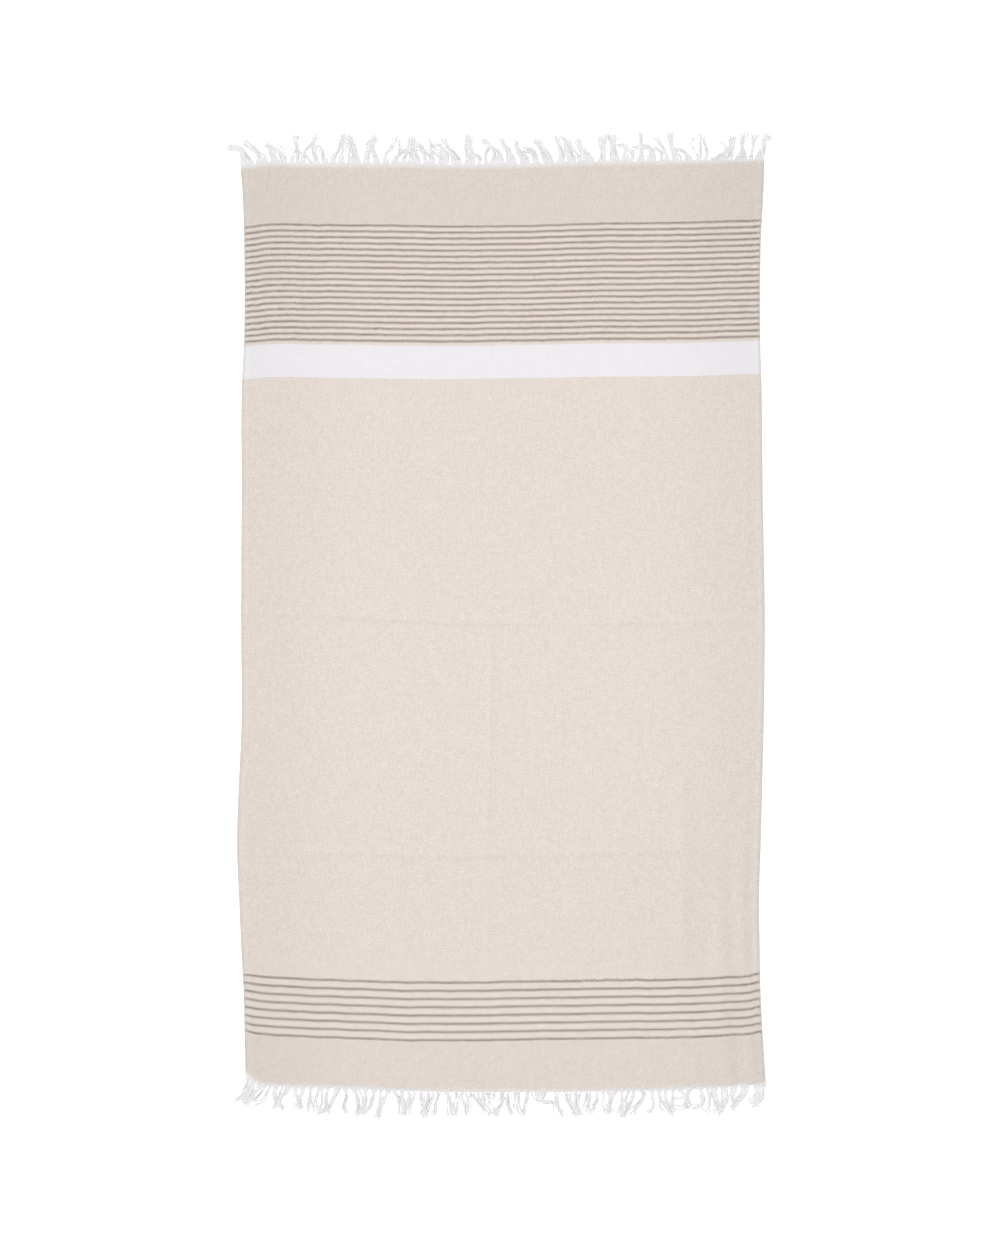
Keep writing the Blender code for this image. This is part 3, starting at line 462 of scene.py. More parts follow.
footLocks = (
    (-486, -482, (-487, -888), (-493, -897), (-500, -905), (-509, -912)),
    (-484, -480, (-487, -889), (-493, -899), (-499, -907), (-505, -914)),
    (-482, -478, (-485, -889), (-491, -899), (-496, -908), (-502, -917)),
    (-480, -476, (-483, -891), (-489, -900), (-493, -909), (-498, -915)),
    (-478, -474, (-482, -892), (-486, -902), (-490, -910), (-493, -919)),
    (-476, -471, (-479, -893), (-484, -903), (-488, -911), (-489, -921)),
    (-473, -468, (-475, -895), (-479, -904), (-483, -912), (-486, -922)),
    (-466, -460, (-466, -892), (-470, -899), (-473, -905), (-480, -912), (-485, -918)),
    (-460, -453, (-460, -890), (-465, -894), (-470, -900), (-472, -906), (-479, -911)),
    (-453, -447, (-454, -892), (-458, -898), (-463, -905), (-470, -911), (-479, -914), (-486, -920)),
    (-443, -438, (-443, -893), (-446, -900), (-449, -908), (-455, -914), (-462, -917), (-471, -918)),
    (-434, -429, (-433, -897), (-432, -905), (-430, -913), (-429, -920), (-434, -926), (-440, -931)),
    (-429, -424, (-430, -897), (-428, -905), (-427, -914), (-427, -922), (-432, -930)),
    (-419, -414, (-420, -895), (-421, -904), (-421, -912), (-419, -920), (-414, -929)),
    (-412, -405, (-412, -896), (-417, -902), (-421, -909), (-422, -917), (-419, -926), (-420, -935)),
    (-405, -399, (-405, -895), (-411, -901), (-417, -907), (-421, -914), (-418, -922), (-412, -927)),
    (-396, -390, (-393, -896), (-390, -904), (-387, -911), (-390, -918), (-397, -924), (-402, -927)),
    (-390, -385, (-391, -897), (-388, -905), (-385, -912), (-382, -920), (-380, -930)),
    (-383, -377, (-379, -896), (-381, -904), (-384, -912), (-383, -920), (-379, -926), (-375, -928)),
    (-377, -372, (-377, -895), (-380, -903), (-383, -911), (-384, -920), (-388, -930)),
    (-366, -361, (-362, -897), (-363, -907), (-365, -917), (-367, -925), (-370, -935)),
    (-361, -357, (-361, -897), (-361, -907), (-361, -917), (-361, -926), (-361, -935)),
    (-350, -345, (-348, -896), (-350, -903), (-353, -913), (-353, -923), (-354, -935)),
    (-345, -340, (-341, -897), (-340, -907), (-341, -917), (-344, -926), (-348, -934), (-353, -940)),
    (-340, -336, (-339, -897), (-340, -908), (-340, -919), (-343, -928), (-345, -941)),
    (-334, -330, (-331, -897), (-332, -906), (-332, -916), (-334, -924), (-339, -932), (-346, -939)),
    (-330, -325, (-330, -897), (-332, -905), (-332, -915), (-332, -925), (-333, -938)),
    (-317, -311, (-315, -897), (-317, -906), (-320, -914), (-324, -922), (-328, -930), (-332, -938)),
    (-311, -304, (-309, -896), (-314, -902), (-318, -910), (-322, -918), (-328, -925), (-337, -931)),
    (-300, -295, (-295, -897), (-293, -904), (-296, -912), (-299, -921), (-299, -930), (-300, -941)),
    (-295, -290, (-293, -897), (-292, -904), (-295, -913), (-298, -922), (-296, -931), (-288, -938)),
    (-284, -277, (-277, -897), (-273, -905), (-271, -914), (-271, -924), (-272, -933), (-277, -944)),
    (-277, -272, (-274, -898), (-272, -907), (-270, -917), (-271, -928), (-270, -944)),
    (-270, -265, (-267, -897), (-264, -903), (-262, -910), (-260, -918), (-264, -927), (-268, -936)),
    (-262, -257, (-259, -897), (-257, -906), (-258, -916), (-262, -926), (-267, -936)),
    (-257, -252, (-256, -898), (-256, -907), (-257, -917), (-262, -929), (-263, -942)),
    (-246, -241, (-242, -897), (-243, -907), (-245, -916), (-249, -925), (-255, -932), (-261, -941)),
    (-241, -235, (-239, -897), (-241, -905), (-243, -914), (-246, -922), (-251, -930), (-253, -940)),
    (-230, -224, (-227, -898), (-228, -907), (-229, -917), (-230, -927), (-234, -937), (-236, -948)),
    (-218, -212, (-215, -899), (-218, -906), (-222, -913), (-225, -921), (-229, -931), (-232, -943)),
    (-212, -207, (-214, -899), (-218, -905), (-222, -911), (-226, -920), (-230, -931), (-234, -947)),
    (-205, -197, (-198, -901), (-192, -907), (-190, -916), (-189, -926), (-189, -941)),
    (-190, -183, (-186, -898), (-186, -908), (-184, -917), (-182, -926), (-182, -942)),
    (-177, -171, (-173, -898), (-172, -907), (-174, -915), (-177, -923), (-181, -931), (-183, -940)),
    (-165, -160, (-162, -898), (-164, -905), (-168, -913), (-171, -920), (-175, -928), (-176, -940)),
    (-153, -147, (-150, -898), (-151, -907), (-149, -915), (-146, -922), (-148, -932), (-154, -945)),
    (-147, -143, (-147, -898), (-146, -905), (-143, -911), (-141, -918), (-143, -928), (-147, -939)),
    (-140, -133, (-136, -898), (-136, -907), (-138, -915), (-141, -924), (-142, -934), (-142, -946)),
    (-129, -124, (-126, -898), (-127, -906), (-130, -915), (-133, -922), (-137, -930), (-143, -946)),
    (-121, -115, (-116, -898), (-118, -906), (-122, -913), (-122, -923), (-122, -931), (-128, -941)),
    (-115, -110, (-114, -898), (-117, -906), (-121, -913), (-123, -922), (-122, -932), (-130, -943)),
    (-105, -99, (-101, -900), (-96, -906), (-93, -914), (-91, -923), (-88, -932), (-85, -943)),
    (-99, -95, (-98, -899), (-97, -908), (-97, -918), (-97, -929), (-96, -943)),
    (-85, -79, (-81, -898), (-82, -908), (-84, -918), (-84, -928), (-86, -935), (-91, -939)),
    (-76, -70, (-72, -899), (-73, -907), (-70, -915), (-67, -923), (-66, -932), (-66, -945)),
    (-70, -66, (-71, -899), (-70, -908), (-67, -916), (-63, -926), (-60, -936), (-60, -944)),
    (-66, -61, (-64, -899), (-61, -907), (-60, -917), (-60, -928), (-60, -945)),
    (-59, -55, (-56, -899), (-55, -909)),
    (-55, -52, (-53, -899), (-53, -910), (-52, -922), (-52, -937)),
    (-52, -45, (-50, -899), (-47, -907), (-42, -914), (-36, -921), (-30, -929), (-24, -936), (-19, -944)),
    (-43, -37, (-40, -899), (-39, -908), (-37, -917), (-32, -925), (-26, -934)),
    (-34, -28, (-31, -898), (-31, -908), (-30, -918), (-26, -927), (-20, -934), (-18, -942)),
    (-27, -21, (-24, -898), (-24, -909), (-22, -919), (-17, -928), (-11, -936), (-4, -943)),
    (-21, -14, (-18, -898), (-19, -908), (-18, -918), (-13, -926), (-7, -932), (-3, -943)),
    (-12, -9, (-10, -899), (-9, -903), (-12, -906), (-16, -905)),
    (2, 7, (5, -898), (5, -908), (4, -918), (0, -926), (-5, -933), (-11, -937)),
    (7, 12, (8, -898), (9, -908), (8, -917), (4, -925), (-1, -933), (-4, -943)),
    (14, 19, (16, -899), (17, -909), (17, -919), (19, -928), (22, -935), (25, -943)),
    (27, 32, (29, -897), (31, -906), (32, -914), (30, -923), (31, -932)),
    (33, 37, (35, -898), (37, -908), (37, -918), (37, -927), (40, -937)),
    (37, 41, (38, -898), (38, -909), (38, -920), (40, -931), (44, -941)),
    (50, 54, (53, -898), (54, -907), (51, -917), (49, -926), (47, -935), (45, -943)),
    (54, 58, (56, -897), (55, -906), (53, -915), (52, -924), (51, -933), (51, -942)),
    (60, 66, (62, -900), (66, -907), (72, -911), (79, -914)),
    (66, 72, (70, -900), (73, -907), (79, -913), (88, -916), (99, -916)),
    (72, 79, (76, -900), (77, -907), (80, -914), (90, -917), (101, -916), (106, -922), (107, -935)),
    (79, 86, (81, -900), (80, -907), (81, -913), (92, -916), (106, -915)),
    (86, 94, (89, -898), (85, -904), (81, -910), (83, -915), (95, -917)),
    (107, 110, (109, -899), (109, -909), (111, -919), (114, -928), (118, -936), (125, -943)),
    (110, 114, (111, -899), (111, -909), (112, -918), (115, -928), (120, -937)),
    (124, 129, (128, -899), (130, -908), (133, -917), (138, -925), (143, -933), (148, -943)),
    (129, 134, (132, -899), (134, -909), (137, -918), (143, -926), (148, -933), (154, -942)),
    (134, 139, (136, -899), (136, -909), (138, -918), (144, -926), (151, -932), (157, -936), (163, -936)),
    (144, 151, (147, -898), (147, -909), (147, -920), (149, -930), (152, -942)),
    (153, 159, (156, -899), (153, -906), (150, -914), (150, -923), (153, -932), (154, -943)),
    (165, 169, (168, -898), (168, -907), (166, -916), (164, -924), (166, -930), (172, -931)),
    (169, 172, (170, -899), (169, -909), (171, -919), (174, -929), (177, -936)),
    (172, 177, (174, -898), (175, -907), (173, -916), (171, -925), (172, -933), (179, -937)),
    (185, 188, (187, -898), (187, -908), (185, -917), (181, -922), (181, -932)),
    (188, 192, (189, -898), (189, -908), (187, -917), (184, -925), (181, -933), (174, -936)),
    (198, 202, (200, -899), (200, -909), (201, -919), (203, -928), (206, -938)),
    (207, 211, (209, -899), (211, -909), (211, -919), (208, -928), (205, -938)),
    (211, 215, (213, -898), (213, -908), (213, -919), (215, -929), (219, -940)),
    (215, 220, (217, -898), (215, -906), (213, -914), (213, -924), (212, -937)),
    (222, 229, (224, -898), (219, -905), (215, -913), (213, -921), (211, -930), (207, -938)),
    (233, 239, (236, -899), (236, -909), (235, -919), (233, -928), (231, -937), (229, -948)),
    (245, 252, (248, -898), (245, -907), (243, -916), (243, -926), (241, -936), (236, -946)),
    (255, 262, (259, -899), (256, -908), (253, -917), (249, -925), (243, -934), (237, -945)),
    (271, 277, (277, -897), (277, -905), (272, -913), (265, -921), (258, -929), (248, -937)),
    (277, 284, (281, -897), (279, -905), (274, -914), (267, -922), (261, -931), (257, -942)),
    (289, 294, (293, -898), (295, -908), (296, -918), (295, -927), (289, -933), (281, -937)),
    (294, 298, (296, -898), (297, -909), (297, -919), (296, -928), (290, -935), (287, -937)),
    (303, 307, (306, -898), (307, -908), (308, -918), (310, -927), (316, -936)),
    (307, 312, (308, -898), (310, -908), (314, -916), (319, -924), (326, -932), (332, -939)),
    (317, 323, (320, -897), (319, -907), (322, -916), (326, -924), (330, -933), (338, -939)),
    (330, 334, (333, -897), (333, -907), (332, -917), (328, -924), (324, -929)),
    (334, 338, (335, -897), (334, -908), (333, -918), (333, -928), (335, -938)),
    (343, 349, (350, -897), (356, -902), (361, -908), (364, -916), (367, -924), (370, -929)),
    (349, 353, (352, -898), (357, -903), (362, -911), (363, -920), (361, -930)),
    (360, 363, (362, -896), (359, -902), (354, -907), (345, -910), (335, -911)),
    (363, 367, (364, -896), (361, -903), (360, -911), (360, -920), (357, -929)),
    (367, 370, (366, -897), (361, -903), (360, -912), (359, -920), (355, -926), (346, -927), (336, -926)),
    (384, 388, (387, -897), (390, -907), (391, -915), (388, -922), (381, -925), (371, -925)),
    (388, 392, (389, -897), (393, -906), (392, -915), (388, -923), (390, -931), (396, -937)),
    (398, 403, (401, -896), (403, -905), (404, -914), (403, -924), (401, -934), (401, -944)),
    (405, 410, (408, -898), (411, -907), (415, -915), (416, -924), (416, -932), (412, -941)),
    (410, 415, (414, -898), (417, -907), (419, -916), (419, -926), (420, -935), (422, -943)),
    (415, 420, (417, -899), (419, -908), (422, -917), (423, -927), (424, -937), (424, -944)),
    (425, 429, (427, -897), (428, -907), (429, -917), (428, -927), (427, -936), (424, -943)),
    (429, 434, (431, -898), (431, -908), (431, -917), (430, -926), (428, -937)),
    (434, 440, (437, -897), (438, -906), (437, -914), (434, -921), (431, -929)),
    (443, 448, (447, -896), (446, -904), (442, -910), (438, -917), (432, -925)),
    (448, 453, (450, -896), (448, -903), (447, -910), (449, -917), (446, -924), (443, -928)),
    (453, 458, (454, -895), (451, -902), (448, -909), (450, -918), (452, -926)),
    (463, 469, (467, -896), (465, -902), (459, -908), (453, -913), (451, -921), (448, -932)),
    (469, 474, (470, -896), (467, -904), (462, -910), (456, -916), (453, -923), (449, -930)),
    (474, 480, (475, -896), (470, -904), (465, -911), (459, -916), (454, -922), (445, -928)),
    (489, 494, (492, -893), (494, -901), (490, -907), (483, -911), (476, -911)),
    (494, 498, (497, -896), (497, -905), (494, -912), (487, -916), (479, -918)),
    (500, 505, (501, -896), (500, -905), (496, -913), (490, -919), (484, -924)),
    (505, 509, (505, -894), (505, -903), (502, -910), (497, -917), (493, -925)),
    (509, 513, (508, -890), (507, -900), (507, -907), (502, -914), (496, -921), (494, -927)),
)
# share of the cloth's length at which a fringe grows, and which way
headFringeFacts = {"name": "headFringe", "end": 1.0, "outward": 1, "seed": 11, "locks": headLocks}
footFringeFacts = {"name": "footFringe", "end": 0.0, "outward": -1, "seed": 23, "locks": footLocks}


def clothEnd(share, outward, count=801):
    # the cloth's edge at one end and its outward normal, at closely spaced places
    mean = np.linspace(meanLow, meanHigh, count)
    edge = np.column_stack(clothPlace(mean, np.full_like(mean, share)))
    run = np.gradient(edge, axis=0)
    run /= np.linalg.norm(run, axis=1)[:, None]
    return mean, edge, np.column_stack((-run[:, 1], run[:, 0])) * outward


def along2d(places, at, line):
    # points of a line read at places
    return np.column_stack([np.interp(places, at, line[:, axis]) for axis in (0, 1)])


def lockRoute(lock, outer, outward):
    # a lock's length, and its middle line with the line's right-hand side at closely spaced places
    left, right, *points = lock
    middle = (left + right) / 2
    root = (middle, np.interp(middle * mm, outer[:, 0], outer[:, 1]) / mm)
    points = np.array((root, *points), float)
    last = points[-1] - points[-2]
    points = np.vstack((points, points[-1] + fringeFacts["runsOn"] * last / np.hypot(*last)))
    at = np.concatenate(([0], np.cumsum(np.hypot(*np.diff(points, axis=0).T))))
    places = np.arange(0, at[-1], 1.0) * mm
    line = np.column_stack([smoothThrough(list(zip(at, points[:, axis])), places) for axis in (0, 1)])
    run = np.gradient(line, axis=0)
    run /= np.linalg.norm(run, axis=1)[:, None]
    return at[-2] * mm, places, line, np.column_stack((run[:, 1], -run[:, 0])) * outward


def past(share, start):
    # 0 up to start, then rising to 1 at the tip
    return np.maximum(0, (share - start) / (1 - start))


def yarnInLock(rank, count, halfRoot, route, habit, chance):
    # points of one warp end along its lock, rank running from -1 at the left to 1
    facts = fringeFacts
    reach, places, line, side = route
    radius = facts["yarnRadius"] * mm
    packed = radius * math.sqrt(count / facts["packing"])
    wide, high = facts["bundleWide"] * packed, facts["bundleHigh"] * packed
    ring = math.sqrt(chance.uniform(*facts["ringArea"]))
    turn = math.acos(max(-1, min(1, rank))) * chance.choice((-1, 1))
    share = np.array(facts["steps"])
    at = share * reach * chance.uniform(*facts["lengths"])
    strayBy = facts["strayBy"] if chance.random() < facts["strays"] else facts["swayBy"]
    stray = chance.uniform(-1, 1) * strayBy * mm
    tipAway = chance.gauss(0, facts["tipAway"]) * mm
    wobble = np.array([chance.gauss(0, facts["jitter"]) for step in share]) * mm

    least, widthShare, reachShare = facts["gatherOver"]
    gathered = eased(at / min(least * mm + 2 * widthShare * halfRoot, reachShare * reach))
    angle = turn + habit["twist"] * share
    loose = 1 + habit["splay"] * past(share, facts["splayFrom"]) ** 2
    beside = rank * halfRoot * (1 - gathered) + gathered * wide * ring * loose * np.cos(angle)
    beside += stray * np.sin(np.pi * share * 0.9) ** 2 + tipAway * past(share, facts["tipFrom"]) ** 2
    beside += wobble * share
    settle = 1 - facts["settleBy"] * past(share, facts["settleFrom"])
    height = radius + gathered * high * settle * (1 + ring * np.sin(angle))
    height += habit["over"] * np.sin(np.pi * share) ** 2
    middle, sideways = along2d(at, places, line), along2d(at, places, side)
    return np.column_stack((middle + sideways * beside[:, None], height))


def warpEnds():
    # where the warp's ends leave the cloth, closer together beside the selvedges
    first, last = fringeFacts["endMargins"]
    ends = [meanLow + first * mm]
    while ends[-1] < meanHigh - last * mm:
        fromSide = min(ends[-1] - meanLow, meanHigh - ends[-1])
        spacing = "sideSpacing" if fromSide < fringeFacts["sideWide"] * mm else "endSpacing"
        ends.append(ends[-1] + fringeFacts[spacing] * mm)
    return ends


def yarnsOfLock(lock, places, normals, outer, outward, chance):
    # the warp ends of one lock: places and outward normals are where they leave the cloth
    radius = fringeFacts["yarnRadius"] * mm
    tucked, tuckedHigh = (part * mm for part in fringeFacts["tucked"])
    out, heldHigh = (part * mm for part in fringeFacts["held"])
    turnsIn = fringeFacts["turnsIn"]
    route = lockRoute(lock, outer, outward)
    halfRoot = (lock[1] - lock[0]) / 2 * mm
    habit = {
        "twist": chance.choice((-1, 1)) * chance.uniform(*fringeFacts["twist"]),
        "splay": chance.uniform(*fringeFacts["splay"]),
        "over": chance.uniform(0, fringeFacts["passOver"]) * mm,
    }
    for order, (place, normal) in enumerate(zip(places, normals)):
        rank = (2 * order + 1) / len(places) - 1
        leaves = route[2][0] + route[3][0] * rank * halfRoot
        low = radius * chance.uniform(*fringeFacts["rootHigh"])
        held = place + normal * out
        start = [
            (*(place - normal * tucked), tuckedHigh),
            (*held, fringeFacts["heldFollows"] * low + heldHigh),
            (*(held * (1 - turnsIn) + leaves * turnsIn), low),
            (*leaves, low),
        ]
        yield np.vstack((start, yarnInLock(rank, len(places), halfRoot, route, habit, chance)))


def meshOfStrands(name, strands):
    # a thread along each row of points, with the shares of its radius at its last points
    curve = bpy.data.curves.new(name, "CURVE")
    curve.dimensions = "3D"
    curve.bevel_depth = fringeFacts["yarnRadius"] * mm
    curve.bevel_resolution = 0
    curve.use_fill_caps = True
    for points, tip in strands:
        spline = curve.splines.new("POLY")
        spline.points.add(len(points) - 1)
        spline.points.foreach_set("co", np.column_stack((points, np.ones(len(points)))).ravel())
        spline.points.foreach_set("radius", [1.0] * (len(points) - len(tip)) + list(tip))
    holder = bpy.data.objects.new(name, curve)
    scene.collection.objects.link(holder)
    bpy.ops.object.select_all(action="DESELECT")
    holder.select_set(True)
    bpy.context.view_layer.objects.active = holder
    bpy.ops.object.convert(target="MESH")
    piece = bpy.context.object
    piece.name = piece.data.name = name
    bpy.ops.object.shade_smooth()
    return piece


def makeFringe(facts):
    chance = random.Random(facts["seed"])
    mean, edge, away = clothEnd(facts["end"], facts["outward"])
    outer = edge + away * fringeFacts["heading"] * mm
    locks = facts["locks"]
    ends = warpEnds()
    atEdge, normals = along2d(ends, mean, edge), along2d(ends, mean, away)
    # each warp end joins the lock whose root is nearest
    between = [(first[1] + second[0]) / 2 * mm for first, second in zip(locks, locks[1:])]
    owner = np.searchsorted(between, atEdge[:, 0])
    strands = []
    for number, lock in enumerate(locks):
        mine = owner == number
        if mine.any():
            yarns = yarnsOfLock(lock, atEdge[mine], normals[mine], outer, facts["outward"], chance)
            strands += [(yarn, fringeFacts["tipRadii"]) for yarn in yarns]
    pickHigh, pickTurn = fringeFacts["pickWave"]
    for out in fringeFacts["picks"]:
        across = edge[::5] + away[::5] * out * mm
        waves = 1 + np.sin(np.arange(len(across)) * pickTurn + out)
        heights = fringeFacts["yarnRadius"] * mm + pickHigh * mm * waves
        strands.append((np.column_stack((across, heights)), ()))
    fringe = meshOfStrands(facts["name"], strands)

    # the fringe's own map: u across, v outwards from the cloth's edge
    across, along = placesOf(fringe.data)[:, :2].T
    outwards = (along - np.interp(across, *edge.T)) * facts["outward"]
    layMap(fringe.data, "fringeMap", np.column_stack((across, outwards)))
    return fringe


def calc(tree, operation, *values, clamp=False):
    # a Math node fed by numbers or by other nodes' outputs
    node = tree.nodes.new("ShaderNodeMath")
    node.operation = operation
    node.use_clamp = clamp
    for socket, value in zip(node.inputs, values):
        if isinstance(value, (int, float)):
            socket.default_value = value
        else:
            tree.links.new(value, socket)
    return node.outputs[0]


def ramp(tree, value, low, high, lowTo=0.0, highTo=1.0):
    # a smooth step from lowTo to highTo as the value goes from low to high
    node = tree.nodes.new("ShaderNodeMapRange")
    node.interpolation_type = "SMOOTHSTEP"
    tree.links.new(value, node.inputs["Value"])
    for name, number in (("From Min", low), ("From Max", high), ("To Min", lowTo), ("To Max", highTo)):
        node.inputs[name].default_value = number
    return node.outputs["Result"]


def fade(tree, value, near, far, share=1.0):
    # the share up to near and nothing from far on, both in mm
    return ramp(tree, value, near * mm, far * mm, share, 0)


def blend(tree, share, first, second):
    # first and second are colours, or outputs that give one
    node = tree.nodes.new("ShaderNodeMix")
    node.data_type = "RGBA"
    if isinstance(share, (int, float)):
        node.inputs["Factor"].default_value = share
    else:
        tree.links.new(share, node.inputs["Factor"])
    for socket, colour in zip(node.inputs[6:8], (first, second)):
        if isinstance(colour, tuple):
            socket.default_value = (*colour, 1)
        else:
            tree.links.new(colour, socket)
    return node.outputs[2]


def grain(tree, place, stretch, detail=2.0, start=0):
    # noise from 0 to 1, its grain stretched by the given scales
    mapping = tree.nodes.new("ShaderNodeMapping")
    mapping.inputs["Location"].default_value = (start, 0, 0)
    mapping.inputs["Scale"].default_value = stretch
    tree.links.new(place, mapping.inputs["Vector"])
    node = tree.nodes.new("ShaderNodeTexNoise")
    node.inputs["Scale"].default_value = 1
    node.inputs["Detail"].default_value = detail
    tree.links.new(mapping.outputs[0], node.inputs["Vector"])
    return node.outputs["Fac"]


def chanceOf(tree, first, second):
    # a number from 0 to 1 for each pair of whole numbers
    joined = tree.nodes.new("ShaderNodeCombineXYZ")
    for socket, value in zip(joined.inputs, (first, second)):
        tree.links.new(calc(tree, "ROUND", value), socket)
    node = tree.nodes.new("ShaderNodeTexWhiteNoise")
    node.noise_dimensions = "2D"
    tree.links.new(joined.outputs[0], node.inputs["Vector"])
    return node.outputs["Value"]


def linear(red, green, blue):
    # a colour as picked on screen, 0 to 255, as the shader wants it
    return tuple(((part / 255 + 0.055) / 1.055) ** 2.4 for part in (red, green, blue))


def newMaterial(name):
    material = bpy.data.materials.new(name)
    material.use_nodes = True
    return material, material.node_tree, material.node_tree.nodes["Principled BSDF"]


def readMap(tree, name):
    # a piece's own map, and its two parts
    node = tree.nodes.new("ShaderNodeUVMap")
    node.uv_map = name
    split = tree.nodes.new("ShaderNodeSeparateXYZ")
    tree.links.new(node.outputs[0], split.inputs[0])
    return node.outputs[0], split.outputs[0], split.outputs[1]


def finishSurface(tree, surface, colour, relief, facts):
    # joins the colour and the relief, and sets the surface's constant values
    bump = tree.nodes.new("ShaderNodeBump")
    strength, high = facts["bump"]
    bump.inputs["Strength"].default_value = strength
    bump.inputs["Distance"].default_value = high * mm
    tree.links.new(relief, bump.inputs["Height"])
    tree.links.new(bump.outputs[0], surface.inputs["Normal"])
    tree.links.new(colour, surface.inputs["Base Color"])
    for name, value in facts["surface"].items():
        surface.inputs[name].default_value = value


# the cloth's pattern; u runs from the left selvedge and v from the foot, in metres
weaveFacts = {
    "repeatWide": 4.93,  # mm, one diamond of the goose-eye twill
    "repeatLong": 5.82,
    "diamondSoft": (0.2, 1.0),
    "repeatStrays": (42, 4.5),  # size of the grain by which diamonds stray, and how far in mm
    "threadsIn": 8,  # threads in one repeat, both ways
    "threadShows": 0.12,  # in the colour and the relief
    "headFirst": 1.6579, "headPitch": 0.01166, "headLines": 20,  # metres from the foot
    "footFirst": 0.2070, "footPitch": 0.0158, "footLines": 8,
    "lineThick": 3.5,  # mm, measured along the warp
    "lineSoft": (0.34, 0.66),  # shares of its thickness over which a line fades out
    "lineSwing": 2.3,  # mm, how far a zigzag swings from its middle
    "lineRagged": 0.8,  # mm
    "lineStrays": ((26, 3, 2.0, 2.6), (58, 2, 1.0, 2.4), (150, 40, 1.0, 3.0)),  # grain, detail, mm
    "lineInk": (0.32, 0.62, 0.68, 1.0),  # blots from and to, and the ink's share at both
    "inkByDiamond": 0.2,  # how far the ink changes from diamond to diamond
    "lineGroundShows": 0.30,
    "groundBeyond": (4, 5, 2),  # mm past the head's lines and the foot's, and its softness
    "bandLow": 1.3641, "bandHigh": 1.4277,
    "bandSoft": 0.5,  # mm
    "bandShadeShows": 0.12,
    "headHemBeyond": (2, 7),  # mm past the head's first line
    "footHemHigh": (87, 93),  # mm from the foot
    "hemShows": (0.18, 0.02),  # how far the plain ends, at the head and at the foot, turn to hemBeige
    "hemDarker": 0.038,
    "warpWhite": linear(246, 237, 230),
    "weftBeige": linear(219, 207, 197),
    "lineGround": linear(234, 220, 214),
    "hemBeige": linear(206, 196, 187),
    "bandWhite": linear(242, 239, 242),
    "bandShade": linear(226, 220, 224),
    "taupe": linear(121, 104, 90),
    "edgeGrey": linear(206, 200, 194),
    "headingWhite": linear(238, 234, 231),
    # in from a side, in mm: full up to, none from, share
    "rim": (1.6, 7, 0.48),
    "outerThread": (0.6, 2, 0.55),
    # painted shade: the cloth darker towards its sides
    "paintedSideShade": (0, 250, 0.052),
    "turnedAt": 10.5,  # mm, a lighter row where the weft turns back
    "turnedLighter": (1, 4, 0.026),
    "heading": (-1, 7, 0.7),  # the same in from an end
    "headingRagged": 5,
    # scale across and along of each grain, and its detail
    "grains": {
        "weftSlub": (60, 400, 1.0),
        "warpSlub": (380, 30, 1.0),
        "cloudy": (75, 75, 2.0),
        "mottle": (20, 20, 2.0),
        "blots": (170, 110, 1.0),
    },
    # how far each moves the tone
    "toneSwings": {
        "weftSlub": 0.11,
        "warpSlub": 0.09,
        "cloudy": 0.042,
        "mottle": 0.012,
        "eachDiamond": 0.085,
    },
    "bandCalm": 0.6,  # how much less the band's tone moves
    # broad places of painted light and shade: from and to across, from and to along, softness, how much
    # lighter
    "swells": (
        (-0.5, 1.5, 0.60, 1.02, 0.14, 0.007),
        (-0.5, 1.5, 0.24, 0.44, 0.06, -0.004),
        (0.72, 0.90, 0.22, 0.44, 0.05, -0.009),
    ),
    # painted shade along the lines where the cloth was folded: where one lies, half width in mm, then
    # (starts, ends, how much darker)
    "creaseShadeAcross": (
        (0.4460, 5.5, (0.05, 0.52, 0.017), (0.48, 0.95, 0.021)),
        (0.8920, 5.8, (0.04, 0.40, 0.022), (0.38, 0.51, 0.031), (0.50, 0.68, 0.006),
         (0.66, 0.97, 0.020)),
    ),
    "creaseShadeAlong": (
        (0.4805, 5.0, (0.50, 0.90, 0.030), (0.10, 0.55, 0.004)),
        (0.4720, 4.0, (0.56, 0.78, 0.008)),
    ),
    "creaseShadeSoft": 0.03,
    "creaseShadeCloudy": (0.55, 0.9),  # strength of a fold's painted shade, at least and from the clouds
    "slubRelief": 0.4,
    "roughness": (0.84, 0.08),  # between the diamonds, and how much more on them
    "bump": (0.35, 0.35),  # strength, and height in mm
    "surface": {"Specular IOR Level": 0.25, "Sheen Weight": 0.08, "Sheen Roughness": 0.6},
}


